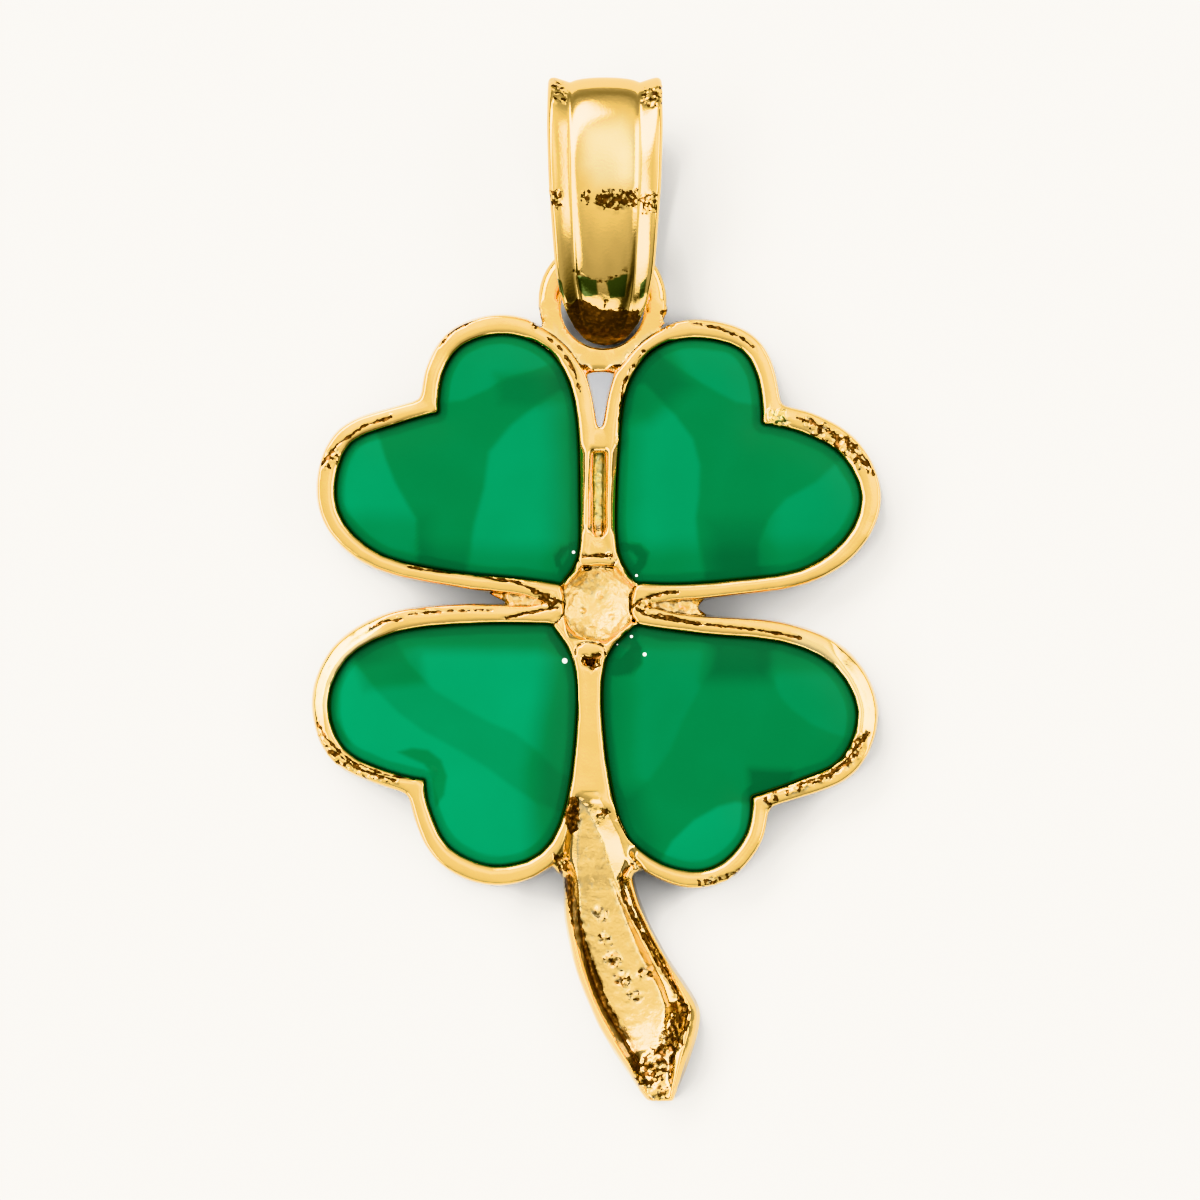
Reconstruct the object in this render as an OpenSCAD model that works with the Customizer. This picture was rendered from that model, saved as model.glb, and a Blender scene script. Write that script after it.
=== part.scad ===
// Four leaf clover pendant: a cast gold frame, four enamel leaves and a bail that swings in the frame's eye.
// It lies on its back. X runs to the right, Y towards the bail and Z up from the surface under it.
// The origin is the clover's centre, on the plane of its flat back.

/* [Clover] */
// Width of the clover over its widest leaves
clover_w = 12.2; // [11:0.1:14]
// Height of the leaves' rims over the back
rim_h = 1.3; // [1.2:0.05:1.6]
// Thickness of the closed back behind the enamel
back_t = 0.4; // [0.3:0.05:0.6]
// Diameter of the dished centre
centre_d = 1.55; // [1.35:0.05:1.75]
// Depth of the centre's dish
dish_depth = 0.22; // [0.1:0.02:0.35]

/* [Enamel] */
// Gap between an enamel leaf and the gold around and under it
enamel_gap = 0.03; // [0.02:0.005:0.05]
// Depth of the enamel's edge below the rims' crests
enamel_drop = 0.24; // [0.15:0.01:0.35]
// Rise of the enamel's middle over its edge
enamel_dome = 0.1; // [0.04:0.01:0.16]

/* [Veins] */
// Width of the slot in the upper vein
slot_w = 0.26; // [0.2:0.02:0.32]
// Depth of the slot in the upper vein
slot_depth = 0.35; // [0.2:0.05:0.5]
// Radius of the small rounded bars around the centre
bar_r = 0.13; // [0.1:0.01:0.16]
// Radius of the rounded noses where two leaves' rims meet beside the centre
nose_r = 0.16; // [0.13:0.01:0.19]

/* [Stem] */
// Height of the stem's lips over the back
stem_h = 1.2; // [1:0.05:1.4]

/* [Eye ring] */
// Outer diameter of the eye ring
eye_d = 2.75; // [2.6:0.05:2.9]
// Diameter of the eye's hole
eye_hole_d = 1.8; // [1.7:0.05:1.9]
// Thickness of the eye ring
eye_t = 0.56; // [0.5:0.02:0.64]

/* [Bail] */
// Length of the bail from its foot to its top
bail_len = 5.85; // [5.25:0.1:6.65]
// Width of the bail at its top
bail_w = 2.5; // [2.3:0.05:2.7]
// Depth of the bail from front to back
bail_depth = 2.6; // [2.4:0.05:3]
// Thickness of the bail's wall
bail_t = 0.34; // [0.28:0.02:0.4]
// Angle at which the lying bail rises from the foot to the top, in degrees
bail_lie = 10; // [8:1:12]
// Clearance between the bail's back and the eye ring
swing_gap = 0.13; // [0.1:0.01:0.18]

/* [Hidden] */

gold = [0.93, 0.73, 0.36];
green = [0.0, 0.6, 0.32];

// Each leaf's outline runs anticlockwise in two lobes: centre to notch and notch to centre.
// Columns: x, y, width of the rim outside the outline. All are shares of clover_w.
ul_upper_lobe_rows = [
    [-0.065, 0.039, 0.012], [-0.037, 0.086, 0.020], [-0.034, 0.185, 0.024], [-0.039, 0.326, 0.033],
    [-0.063, 0.414, 0.033], [-0.111, 0.460, 0.032], [-0.173, 0.475, 0.034], [-0.238, 0.455, 0.034],
    [-0.273, 0.404, 0.030], [-0.281, 0.338, 0.026]];
ul_outer_lobe_rows = [
    [-0.281, 0.338, 0.026], [-0.358, 0.315, 0.030], [-0.434, 0.284, 0.032], [-0.461, 0.213, 0.032],
    [-0.446, 0.146, 0.030], [-0.379, 0.090, 0.027], [-0.261, 0.062, 0.026], [-0.137, 0.049, 0.028],
    [-0.065, 0.039, 0.028]];
ur_outer_lobe_rows = [
    [0.067, 0.041, 0.028], [0.145, 0.039, 0.028], [0.241, 0.046, 0.026], [0.356, 0.063, 0.026],
    [0.432, 0.115, 0.031], [0.462, 0.190, 0.036], [0.427, 0.264, 0.037], [0.356, 0.303, 0.038],
    [0.289, 0.319, 0.032]];
ur_upper_lobe_rows = [
    [0.289, 0.319, 0.032], [0.280, 0.397, 0.032], [0.250, 0.448, 0.034], [0.185, 0.467, 0.034],
    [0.127, 0.461, 0.030], [0.079, 0.428, 0.028], [0.047, 0.361, 0.029], [0.035, 0.220, 0.026],
    [0.036, 0.097, 0.022], [0.067, 0.041, 0.012]];
ll_outer_lobe_rows = [
    [-0.083, -0.035, 0.028], [-0.226, -0.035, 0.034], [-0.358, -0.051, 0.036], [-0.441, -0.097, 0.032],
    [-0.473, -0.174, 0.029], [-0.446, -0.252, 0.029], [-0.370, -0.291, 0.026], [-0.305, -0.307, 0.028]];
ll_lower_lobe_rows = [
    [-0.305, -0.307, 0.028], [-0.296, -0.358, 0.028], [-0.261, -0.425, 0.032], [-0.185, -0.458, 0.034],
    [-0.102, -0.435, 0.030], [-0.058, -0.352, 0.024], [-0.039, -0.194, 0.022], [-0.046, -0.097, 0.018],
    [-0.083, -0.035, 0.012]];
lr_lower_lobe_rows = [
    [0.067, -0.037, 0.012], [0.015, -0.097, 0.018], [0.011, -0.220, 0.022], [0.039, -0.379, 0.026],
    [0.092, -0.442, 0.026], [0.162, -0.467, 0.029], [0.219, -0.452, 0.030], [0.261, -0.400, 0.029],
    [0.271, -0.337, 0.027]];
lr_outer_lobe_rows = [
    [0.271, -0.337, 0.024], [0.356, -0.306, 0.029], [0.427, -0.270, 0.034], [0.455, -0.189, 0.037],
    [0.414, -0.109, 0.036], [0.321, -0.067, 0.034], [0.180, -0.053, 0.031], [0.067, -0.037, 0.028]];

// Section of a rim. Columns: share of its width, share of its height.
rim_section = [
    [0, 0], [1, 0], [1, 0.6], [0.94, 0.82], [0.76, 0.96], [0.5, 1], [0.24, 0.96], [0.06, 0.86], [0, 0.74]];

// Rings of an enamel leaf's top. Columns: share of the outline's size, share of the dome's rise.
enamel_rings = [[1, 0], [0.975, -0.35], [0.93, -0.3], [0.75, 0.35], [0.45, 0.85], [0.15, 1]];

// Stem, from the fork down to the tip. Columns: y, left edge, left foot of the channel, right foot,
// right edge, all shares of clover_w, then the heights of both feet as shares of stem_h.
stem_rows = [
    [-0.300, -0.036, -0.024, -0.014, 0.004, 1.02, 1.02],
    [-0.345, -0.048, -0.034, -0.016, 0.018, 0.96, 0.95],
    [-0.400, -0.062, -0.039, 0.000, 0.037, 0.86, 0.84],
    [-0.440, -0.078, -0.038, 0.010, 0.064, 0.78, 0.76],
    [-0.465, -0.076, -0.037, 0.017, 0.077, 0.72, 0.71],
    [-0.484, -0.061, -0.036, 0.023, 0.064, 0.68, 0.67],
    [-0.555, -0.058, -0.032, 0.050, 0.088, 0.55, 0.56],
    [-0.626, -0.044, -0.018, 0.080, 0.127, 0.46, 0.49],
    [-0.675, -0.028, -0.002, 0.106, 0.160, 0.42, 0.47],
    [-0.710, -0.013, 0.012, 0.118, 0.178, 0.40, 0.47],
    [-0.746, 0.004, 0.033, 0.114, 0.177, 0.40, 0.52],
    [-0.788, 0.028, 0.060, 0.103, 0.166, 0.43, 0.60],
    [-0.830, 0.056, 0.082, 0.106, 0.151, 0.80, 0.85],
    [-0.858, 0.074, 0.095, 0.112, 0.139, 0.94, 0.94],
    [-0.873, 0.088, 0.103, 0.118, 0.133, 0.88, 0.88]];

// Section of the stem's lips. Columns: share of the way from the edge to the foot, share of stem_h.
// Past lip_crest the lip falls towards the channel, and never below the foot beside it.
lip_crest = 0.5;
left_lip = [[0, 0], [0, 0.6], [0.1, 0.86], [0.34, 1], [0.6, 0.94]];
right_lip = [[0.62, 0.78], [0.46, 0.94], [0.3, 1], [0.1, 0.88], [0, 0.6], [0, 0]];

// Section of the bail's band. Columns: share of its half width, share of the wall's thickness.
band_half = [
    [1, 0], [1, 0.74], [0.94, 1], [0.84, 0.95], [0.66, 0.72], [0.6, 0.64], [0.54, 0.8], [0.32, 0.95]];

// The band's relief fades out towards the foot, into a plain round back that drops this share at its edges.
relief_fade = 0.22;
foot_round = 0.35;

// Width of the bail. Columns: share of its length over the foot, share of the way from foot width to bail_w.
bail_widths = [
    [0, 0], [0.03, 0.16], [0.08, 0.38], [0.12, 0.5], [0.16, 0.6], [0.23, 0.72], [0.3, 0.8],
    [0.48, 0.88], [0.64, 0.96], [0.87, 1], [1, 0.98]];

lobe_steps = 3;
stem_steps = 3;
bail_stations = 40;
post_sides = 12;

// Reach of a leaf's back under its rim and radius of the back under the centre, as shares of clover_w
back_overlap = 0.012;
hub_reach = 0.118;

// Heights in the frame
centre_h = rim_h * 0.76;
web_h = rim_h * 0.58;
vein_h = rim_h * 0.92;
lower_vein_h = rim_h * 0.97;
nose_h = rim_h * 0.98;
enamel_edge_z = rim_h - enamel_drop;

// Radii of the lower vein's head and of the bars at the leaves' inner corners
head_r = bar_r * 1.2;
corner_r = bar_r * 0.75;

// Slit between the upper leaves and the flat web over it, as shares of clover_w
slit_tip = [0.002, 0.303];
slit_top_y = 0.415;
eye_web = [
    [-0.100, 0.497], [-0.062, 0.440], [-0.030, slit_top_y],
    [0.042, slit_top_y], [0.075, 0.446], [0.116, 0.497]];

// Upper vein with its slot, and the bar across its foot
upper_vein_plan = [[-0.022, 0.072], [0.026, 0.072], [0.026, 0.303], slit_tip, [-0.022, 0.303]];
slot_foot_y = 0.112;
slot_top_y = 0.270;
vein_bar = [[-0.022, 0.078], [0.024, 0.078]];

// Lower vein and its head
lower_vein_plan = [
    [-0.037, -0.110], [0.005, -0.110], [0.001, -0.200], [0.008, -0.325], [-0.044, -0.325], [-0.033, -0.200]];
vein_head = [[-0.027, -0.079], [0.001, -0.077]];

// Webs beside the centre, each with the slit's tip in its outer edge
left_web = [
    [-0.062, 0.030], [-0.190, 0.022], [-0.168, 0.014], [-0.156, 0.007], [-0.153, 0.000],
    [-0.156, -0.008], [-0.168, -0.015], [-0.190, -0.022], [-0.062, -0.028]];
right_web = [
    [0.062, 0.030], [0.062, -0.028], [0.205, -0.026], [0.184, -0.018], [0.172, -0.011],
    [0.168, -0.003], [0.172, 0.005], [0.184, 0.012], [0.205, 0.020]];
noses = [
    [[-0.112, 0.029], [-0.080, 0.021], [-0.071, 0.006]],
    [[-0.112, -0.018], [-0.082, -0.016], [-0.071, -0.004]],
    [[0.112, 0.022], [0.077, 0.020], [0.066, 0.006]],
    [[0.112, -0.025], [0.078, -0.019], [0.066, -0.006]]];

// Thin bars along the leaves' inner corners. Columns: both ends, height as a share of rim_h.
corner_bars = [
    [[-0.070, -0.026], [-0.034, -0.068], 0.92], [[0.053, -0.030], [0.014, -0.070], 0.8],
    [[-0.056, 0.028], [-0.033, 0.062], 0.8], [[0.060, 0.028], [0.036, 0.064], 0.8]];

// Eye ring. The hole lies slightly below the ring's own centre, and the web is a hair thinner than the ring.
eye_centre = [0.008, 0.536] * clover_w;
hole_centre = eye_centre + [0.004, -0.044] * eye_d;
eye_round = eye_t * 0.26;
web_step = eye_t * 0.036;

// Bail as a loop: it is deepest above the middle of its length.
foot_half = bail_len * 0.53;
top_half = bail_len - foot_half;
half_depth = bail_depth / 2;
foot_w = eye_hole_d * 0.42;
foot_slack = eye_hole_d * 0.034;
bail_x = hole_centre.x + bail_w * 0.016;
// The lowest point of the tilted loop touches the surface, and the foot lies just inside the hole.
bail_z = norm([half_depth * cos(bail_lie), foot_half * sin(bail_lie)]);
bail_y = hole_centre.y - eye_hole_d / 2 + foot_slack + foot_half * cos(bail_lie);
eye_z = bail_t / cos(bail_lie) + swing_gap;

// Point on a smooth curve through the rows
function between(a, b, c, d, t) =
    b + (c - a) * t / 2 + (2 * a - 5 * b + 4 * c - d) * t * t / 2 + (3 * b - a - 3 * c + d) * t * t * t / 2;

// Smooth curve through the rows, with the given steps from one row to the next
function smooth(rows, steps) =
    let (last = len(rows) - 1)
    concat(
        [for (i = [0 : last - 1], k = [0 : steps - 1])
            between(rows[max(i - 1, 0)], rows[i], rows[i + 1], rows[min(i + 2, last)], k / steps)],
        [rows[last]]);

// Unit vector that points out of an anticlockwise curve at its point i
function outward(curve, i) =
    let (a = curve[max(i - 1, 0)], b = curve[min(i + 1, len(curve) - 1)], d = [b.y - a.y, a.x - b.x])
    d / norm(d);

// Plan outline of an enamel leaf from its two lobes
function leaf_outline(lobes) =
    let (a = smooth(lobes[0], lobe_steps), b = smooth(lobes[1], lobe_steps))
    concat(
        [for (i = [0 : len(a) - 2]) [a[i].x, a[i].y] * clover_w],
        [for (i = [0 : len(b) - 2]) [b[i].x, b[i].y] * clover_w]);

function mean(points) = [for (p = points) 1] * points / len(points);

// Solid through rings of points, closed into a loop or with flat ends
module loft(rings, loop = false) {
    count = len(rings);
    size = len(rings[0]);
    spans = loop ? count : count - 1;
    sides = [
        for (i = [0 : spans - 1], j = [0 : size - 1])
            let (near = i * size, far = ((i + 1) % count) * size, next = (j + 1) % size)
            [near + j, near + next, far + next, far + j]];
    ends = loop ? [] : [[for (j = [size - 1 : -1 : 0]) j], [for (j = [0 : size - 1]) (count - 1) * size + j]];
    polyhedron([for (r = rings) each r], concat(sides, ends));
}

// Rounded post at a plan place given in shares of clover_w
module post(place, radius, height) {
    translate([place.x * clover_w, place.y * clover_w, 0]) {
        cylinder(r = radius, h = height - radius, $fn = post_sides);
        translate([0, 0, height - radius])
            sphere(r = radius, $fn = post_sides);
    }
}

// Rounded bar between two plan places
module bar(from, to, radius, height) {
    hull() {
        post(from, radius, height);
        post(to, radius, height);
    }
}

// Rim along one lobe of a leaf
module rim(rows) {
    curve = smooth(rows, lobe_steps);
    loft([
        for (i = [0 : len(curve) - 1])
            let (p = curve[i], out = outward(curve, i))
            [for (s = rim_section)
                let (reach = enamel_gap + s[0] * (p.z * clover_w - enamel_gap))
                [p.x * clover_w + out.x * reach, p.y * clover_w + out.y * reach, s[1] * rim_h]]]);
}

module leaf_cell(lobes) {
    linear_extrude(back_t)
        offset(delta = back_overlap * clover_w)
            polygon(leaf_outline(lobes));
    rim(lobes[0]);
    rim(lobes[1]);
}

module eye() {
    reach = eye_d / 2;
    translate([eye_centre.x, eye_centre.y, eye_z])
        rotate_extrude($fn = 48)
            polygon([
                [0, 0], [reach - eye_round, 0], [reach, eye_round], [reach, eye_t - eye_round],
                [reach - eye_round * 0.3, eye_t - eye_round * 0.3], [reach - eye_round, eye_t], [0, eye_t]]);
    translate([0, 0, eye_z])
        linear_extrude(eye_t - web_step)
            polygon(eye_web * clover_w);
}

// Hole through the eye ring. Its edges are rounded, and the cutter flares on past both of the ring's faces.
module eye_hole() {
    reach = eye_hole_d / 2;
    edge = [[0, 1], [0.3, 0.3], [1.7, -0.3], [1.7, -3]] * eye_round;
    translate([hole_centre.x, hole_centre.y, eye_z])
        rotate_extrude($fn = 48)
            polygon(concat(
                [[0, edge[3].y]],
                [for (i = [3 : -1 : 0]) [reach + edge[i].x, edge[i].y]],
                [for (i = [0 : 3]) [reach + edge[i].x, eye_t - edge[i].y]],
                [[0, eye_t - edge[3].y]]));
}

module upper_vein() {
    slot_x = slit_tip.x * clover_w;
    difference() {
        linear_extrude(vein_h)
            polygon(upper_vein_plan * clover_w);
        translate([slot_x - slot_w / 2, slot_foot_y * clover_w, vein_h - slot_depth])
            cube([slot_w, (slot_top_y - slot_foot_y) * clover_w, slot_depth + 1]);
    }
    bar(vein_bar[0], vein_bar[1], bar_r, rim_h);
}

// Flat bar between the two lower leaves, with a round head by the centre
module lower_vein() {
    linear_extrude(lower_vein_h)
        polygon(lower_vein_plan * clover_w);
    bar(vein_head[0], vein_head[1], head_r, rim_h);
}

// Sunk webs between the upper and lower leaves at each side of the centre, with the rims' noses
module side_webs() {
    linear_extrude(web_h) {
        polygon(left_web * clover_w);
        polygon(right_web * clover_w);
    }
    for (n = noses, k = [0, 1])
        bar(n[k], n[k + 1], nose_r, nose_h);
}

// Dished disc at the centre, with thin bars along the leaves' inner corners
module centre() {
    reach = centre_d / 2;
    ball = (reach * reach + dish_depth * dish_depth) / (2 * dish_depth);
    cylinder(r = hub_reach * clover_w, h = back_t, $fn = 32);
    difference() {
        cylinder(d = centre_d, h = centre_h, $fn = 32);
        translate([0, 0, centre_h - dish_depth + ball])
            sphere(r = ball, $fn = 64);
    }
    for (b = corner_bars)
        bar(b[0], b[1], corner_r, b[2] * rim_h);
}

// Lip points from the stem's edge towards the channel's foot, which lies at foot_h as a share of stem_h
function lip(edge, foot, y, foot_h, section) =
    [for (s = section)
        let (rise = s[0] > lip_crest ? max(s[1], foot_h) : s[1])
        [edge + (foot - edge) * s[0], y, 0] * clover_w + [0, 0, rise * stem_h]];

// Hollow stem: a rounded lip on each side of a channel that ends in a raised tip
module stem() {
    curve = smooth(stem_rows, stem_steps);
    loft([
        for (c = curve)
            let (y = c[0], left_foot = c[2], right_foot = c[3])
            concat(
                lip(c[1], left_foot, y, c[5], left_lip),
                [[left_foot, y, 0] * clover_w + [0, 0, c[5] * stem_h],
                [right_foot, y, 0] * clover_w + [0, 0, c[6] * stem_h]],
                lip(c[4], right_foot, y, c[6], right_lip))]);
}

module clover_frame() {
    color(gold)
        difference() {
            union() {
                leaf_cell([ul_upper_lobe_rows, ul_outer_lobe_rows]);
                leaf_cell([ur_outer_lobe_rows, ur_upper_lobe_rows]);
                leaf_cell([ll_outer_lobe_rows, ll_lower_lobe_rows]);
                leaf_cell([lr_lower_lobe_rows, lr_outer_lobe_rows]);
                eye();
                upper_vein();
                lower_vein();
                side_webs();
                centre();
                stem();
            }
            eye_hole();
        }
}

module enamel_leaf(lobes) {
    outline = leaf_outline(lobes);
    middle = mean(outline);
    base = [for (p = outline) [p.x, p.y, back_t + enamel_gap]];
    color(green)
        loft(concat(
            [for (i = [len(enamel_rings) - 1 : -1 : 0])
                [for (p = outline)
                    let (r = enamel_rings[i], q = middle + (p - middle) * r[0])
                    [q.x, q.y, enamel_edge_z + r[1] * enamel_dome]]],
            [base]));
}

module leaf_upper_left() enamel_leaf([ul_upper_lobe_rows, ul_outer_lobe_rows]);
module leaf_upper_right() enamel_leaf([ur_outer_lobe_rows, ur_upper_lobe_rows]);
module leaf_lower_left() enamel_leaf([ll_outer_lobe_rows, ll_lower_lobe_rows]);
module leaf_lower_right() enamel_leaf([lr_lower_lobe_rows, lr_outer_lobe_rows]);

// Point of the bail's loop at an angle from its front, over its top, as [length, depth]
function loop_point(angle, inset) =
    let (half = angle <= 180 ? top_half : foot_half)
    [(half - inset) * sin(angle), (half_depth - inset) * cos(angle)];

function bail_half_w(share) = (foot_w + (bail_w - foot_w) * lookup(share, bail_widths)) / 2;

// Height of the band's outer face at a share of the half width and of the length, as a share of the wall
function band_height(across, height, share) =
    let (relief = min(1, share / relief_fade))
    height == 0 ? 0 : height * relief + (1 - foot_round * across * across) * (1 - relief);

module bail() {
    section = concat(
        band_half,
        [[0, 1]],
        [for (i = [len(band_half) - 1 : -1 : 0]) [-band_half[i][0], band_half[i][1]]]);
    color(gold)
        translate([bail_x, bail_y, bail_z])
            rotate([bail_lie, 0, 0])
                loft([
                    for (i = [0 : bail_stations - 1])
                        let (
                            angle = 360 * i / bail_stations,
                            share = (loop_point(angle, 0)[0] + foot_half) / bail_len,
                            half = bail_half_w(share))
                        [for (s = section)
                            let (q = loop_point(angle, bail_t * (1 - band_height(s[0], s[1], share))))
                            [s[0] * half, q[0], q[1]]]],
                    loop = true);
}

clover_frame();
leaf_upper_left();
leaf_upper_right();
leaf_lower_left();
leaf_lower_right();
bail();
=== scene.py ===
"""Four leaf clover pendant: detailed castings, enamel panes, finishes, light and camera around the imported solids."""
import logging
import math
from dataclasses import dataclass
from enum import Enum

import bmesh
import bpy
import numpy as np
from mathutils import Matrix, Vector


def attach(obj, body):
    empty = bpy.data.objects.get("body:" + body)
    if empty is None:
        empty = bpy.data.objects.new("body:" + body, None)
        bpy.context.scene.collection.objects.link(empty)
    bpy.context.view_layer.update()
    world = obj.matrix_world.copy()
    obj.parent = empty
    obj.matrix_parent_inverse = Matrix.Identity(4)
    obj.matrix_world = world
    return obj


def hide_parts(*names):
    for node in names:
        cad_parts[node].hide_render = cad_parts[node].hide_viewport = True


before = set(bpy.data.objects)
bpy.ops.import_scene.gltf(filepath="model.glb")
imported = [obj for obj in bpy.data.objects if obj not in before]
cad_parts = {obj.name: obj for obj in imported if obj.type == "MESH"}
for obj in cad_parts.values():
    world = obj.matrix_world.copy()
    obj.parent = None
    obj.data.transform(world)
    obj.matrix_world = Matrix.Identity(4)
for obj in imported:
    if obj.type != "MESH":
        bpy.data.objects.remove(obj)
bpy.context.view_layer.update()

MM = 0.001
PIXEL = 0.0215
AXIS_PX = (598.0, 605.0)
PHOTO_WIDTH = 1200.0
FLOOR_Z = -0.02 * MM
UPWARD = (-0.1, 0.3)
GRAIN_FADE = 0.55
GRAIN_RANGE = 1.4
MARKED = 0.5

Spot = tuple[float, float]
Span = tuple[float, float]
Colour = tuple[float, float, float]

LOG = logging.getLogger("clover")


class Slot(str, Enum):
    """The record's material slots."""

    GOLD = "gold"
    ENAMEL = "enamel"


class Body(str, Enum):
    """The bodies that pieces ride on."""

    CLOVER = "clover"
    BAIL = "bail"


class Mark(str, Enum):
    """The point attributes that the finishes read."""

    # Painted dark reflections on the rims and the bail, painted shade on the stem's wall and in grooves, and brown in
    # rough places.
    PAINTED_DARK_AND_BROWN = "painted_dark_and_brown_share"
    # Painted shade in creases, on the walls and floors of hollows and along the enamel.
    PAINTED_SHADE = "crease"
    FROST = "frost"
    # Green enamel film on the casting, and painted reflections of the enamel on the bail.
    FILM_AND_PAINTED_REFLECTION = "film"
    # Painted highlights, and paler gold painted where gold faces gold, against the orange of its reflections.
    PAINTED_PALE = "hollow"
    # The enamel's painted bands: painted reflections where lighter, painted shade and dark reflections where darker.
    PAINTED_BANDS = "tone"
    EDGE = "edge"


class Seed(int, Enum):
    """The seeds of the noise. Worn places and places of painted light count up from theirs."""

    FRAME_WAVE = 3
    BAIL_WAVE = 5
    FRAME_RIPPLE = 11
    PANE_WAVE = 61
    PANE_BORDER = 71
    FRAME_MARKINGS = 100
    BAIL_MARKINGS = 300


def at(px: float, py: float) -> Spot:
    """Turn a place in the photograph, in pixels, into x and y in millimetres on the object."""
    return (px - AXIS_PX[0]) * PIXEL, (AXIS_PX[1] - py) * PIXEL


def smoothstep(low: float, high: float, value: np.ndarray) -> np.ndarray:
    """Rise smoothly from 0 where value is low to 1 where it is high."""
    share = np.clip((value - low) / (high - low), 0.0, 1.0)
    return share * share * (3.0 - 2.0 * share)


def grain(points: np.ndarray, cell: float, seed: int) -> np.ndarray:
    """Give smooth seeded noise at points.

    Args:
        points: positions in millimetres, one row each.
        cell: size of one bump in millimetres.
        seed: picks the pattern.

    Returns:
        One number from -1 to 1 for each point.
    """
    scaled = points / cell
    corner = np.floor(scaled).astype(np.int64)
    part = scaled - corner
    part = part * part * (3.0 - 2.0 * part)
    total = np.zeros(len(points))
    for step in np.ndindex(2, 2, 2):
        key = (corner + np.array(step)).astype(np.uint64)
        code = key[:, 0] * np.uint64(73856093) ^ key[:, 1] * np.uint64(19349663) ^ key[:, 2] * np.uint64(83492791)
        code = (code ^ np.uint64(seed * 7919 + 17)) * np.uint64(0x9E3779B97F4A7C15)
        code = (code ^ (code >> np.uint64(29))) * np.uint64(0xBF58476D1CE4E5B9)
        code = code ^ (code >> np.uint64(32))
        level = (code & np.uint64(0xFFFF)).astype(np.float64) / 32767.5 - 1.0
        weight = np.ones(len(points))
        for axis in range(3):
            weight = weight * (part[:, axis] if step[axis] else 1.0 - part[:, axis])
        total += weight * level
    return total


def layered_grain(points: np.ndarray, cell: float, seed: int, layers: int = 3) -> np.ndarray:
    """Add up finer and finer noise.

    Args:
        points: positions in millimetres.
        cell: size of the coarsest bump in millimetres.
        seed: picks the pattern.
        layers: number of octaves.

    Returns:
        One number, mostly from -1 to 1, for each point.
    """
    total = np.zeros(len(points))
    for layer in range(layers):
        total += grain(points, cell / 2.0**layer, seed + layer) * GRAIN_FADE**layer
    return total / GRAIN_RANGE


def distance_to_path(points: np.ndarray, path: np.ndarray, closed: bool = False) -> np.ndarray:
    """Measure from points to a path in the plane.

    Args:
        points: x and y of each point.
        path: corners of the path.
        closed: whether the last corner joins the first.

    Returns:
        The shortest distance for each point.
    """
    ends = np.roll(path, -1, axis=0) if closed else path[1:]
    starts = path if closed else path[:-1]
    best = np.full(len(points), np.inf)
    for start, end in zip(starts, ends):
        run = end - start
        share = np.clip(((points - start) @ run) / max(float(run @ run), 1e-12), 0.0, 1.0)
        gap = points - start - share[:, None] * run
        best = np.minimum(best, gap[:, 0] ** 2 + gap[:, 1] ** 2)
    return np.sqrt(best)


def inside_outline(points: np.ndarray, outline: np.ndarray) -> np.ndarray:
    """Tell which points lie inside a closed outline.

    Args:
        points: x and y of each point.
        outline: corners in order.

    Returns:
        True for each point inside.
    """
    hit = np.zeros(len(points), dtype=bool)
    for start, end in zip(outline, np.roll(outline, -1, axis=0)):
        if start[1] == end[1]:
            continue
        crosses = (points[:, 1] < start[1]) != (points[:, 1] < end[1])
        reach = start[0] + (points[:, 1] - start[1]) * (end[0] - start[0]) / (end[1] - start[1])
        hit ^= crosses & (points[:, 0] < reach)
    return hit


@dataclass(frozen=True)
class Region:
    """A place in photograph pixels: a line of some width or, where width is 0, a closed outline."""

    path: tuple[Spot, ...]
    width: float = 0.0
    soft: float = 2.0
    rag: float = 0.0
    floor_z: float = -9.0
    top_z: float = 9.0

    def mask(self, points: np.ndarray, seed: int = 0) -> np.ndarray:
        """Work out how far inside the region each point is.

        Args:
            points: positions in millimetres.
            seed: picks the raggedness.

        Returns:
            A share from 0 to 1 for each point.
        """
        path = np.array([at(*spot) for spot in self.path])
        half, soft, rag = self.width * PIXEL / 2.0, self.soft * PIXEL, self.rag * PIXEL
        reach = half + soft + rag + 0.02
        near = np.all(points[:, :2] > path.min(0) - reach, axis=1)
        near &= np.all(points[:, :2] < path.max(0) + reach, axis=1)
        near &= (points[:, 2] >= self.floor_z) & (points[:, 2] <= self.top_z)
        found = np.zeros(len(points))
        if not near.any():
            return found
        spot = points[near]
        if self.width:
            depth = half - distance_to_path(spot[:, :2], path)
        else:
            depth = distance_to_path(spot[:, :2], path, closed=True)
            depth = np.where(inside_outline(spot[:, :2], path), depth, -depth)
        if self.rag:
            depth = depth + rag * layered_grain(spot, 0.1, seed)
        found[near] = smoothstep(-soft, soft, depth)
        return found


@dataclass(frozen=True)
class WearAndPaintedLight:
    """A rough or dark place in the gold, or a place of painted light on it.

    dark is how much dark brown is painted, frost how dull it is, then how green and how much paler gold is painted,
    depth how far it sinks and relief how high its broken bumps are, both in millimetres, with bumps of the size of
    cell. The dark brown is painted dark reflection on the rims and the bail, painted shade on the stem's wall and in
    the grooves round the dish, and brown in rough places; the green is enamel film on the casting and painted
    reflection of the enamel on the bail; the paler gold is a painted highlight.
    """

    region: Region
    dark: float = 0.0
    frost: float = 0.0
    film: float = 0.0
    painted_pale: float = 0.0
    depth: float = 0.0
    relief: float = 0.0
    cell: float = 0.12


@dataclass(frozen=True)
class PaintedBand:
    """A painted band in the enamel: lighter where it is a painted reflection, darker where it is painted shade and
    dark reflection.
    """

    region: Region
    amount: float


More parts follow.
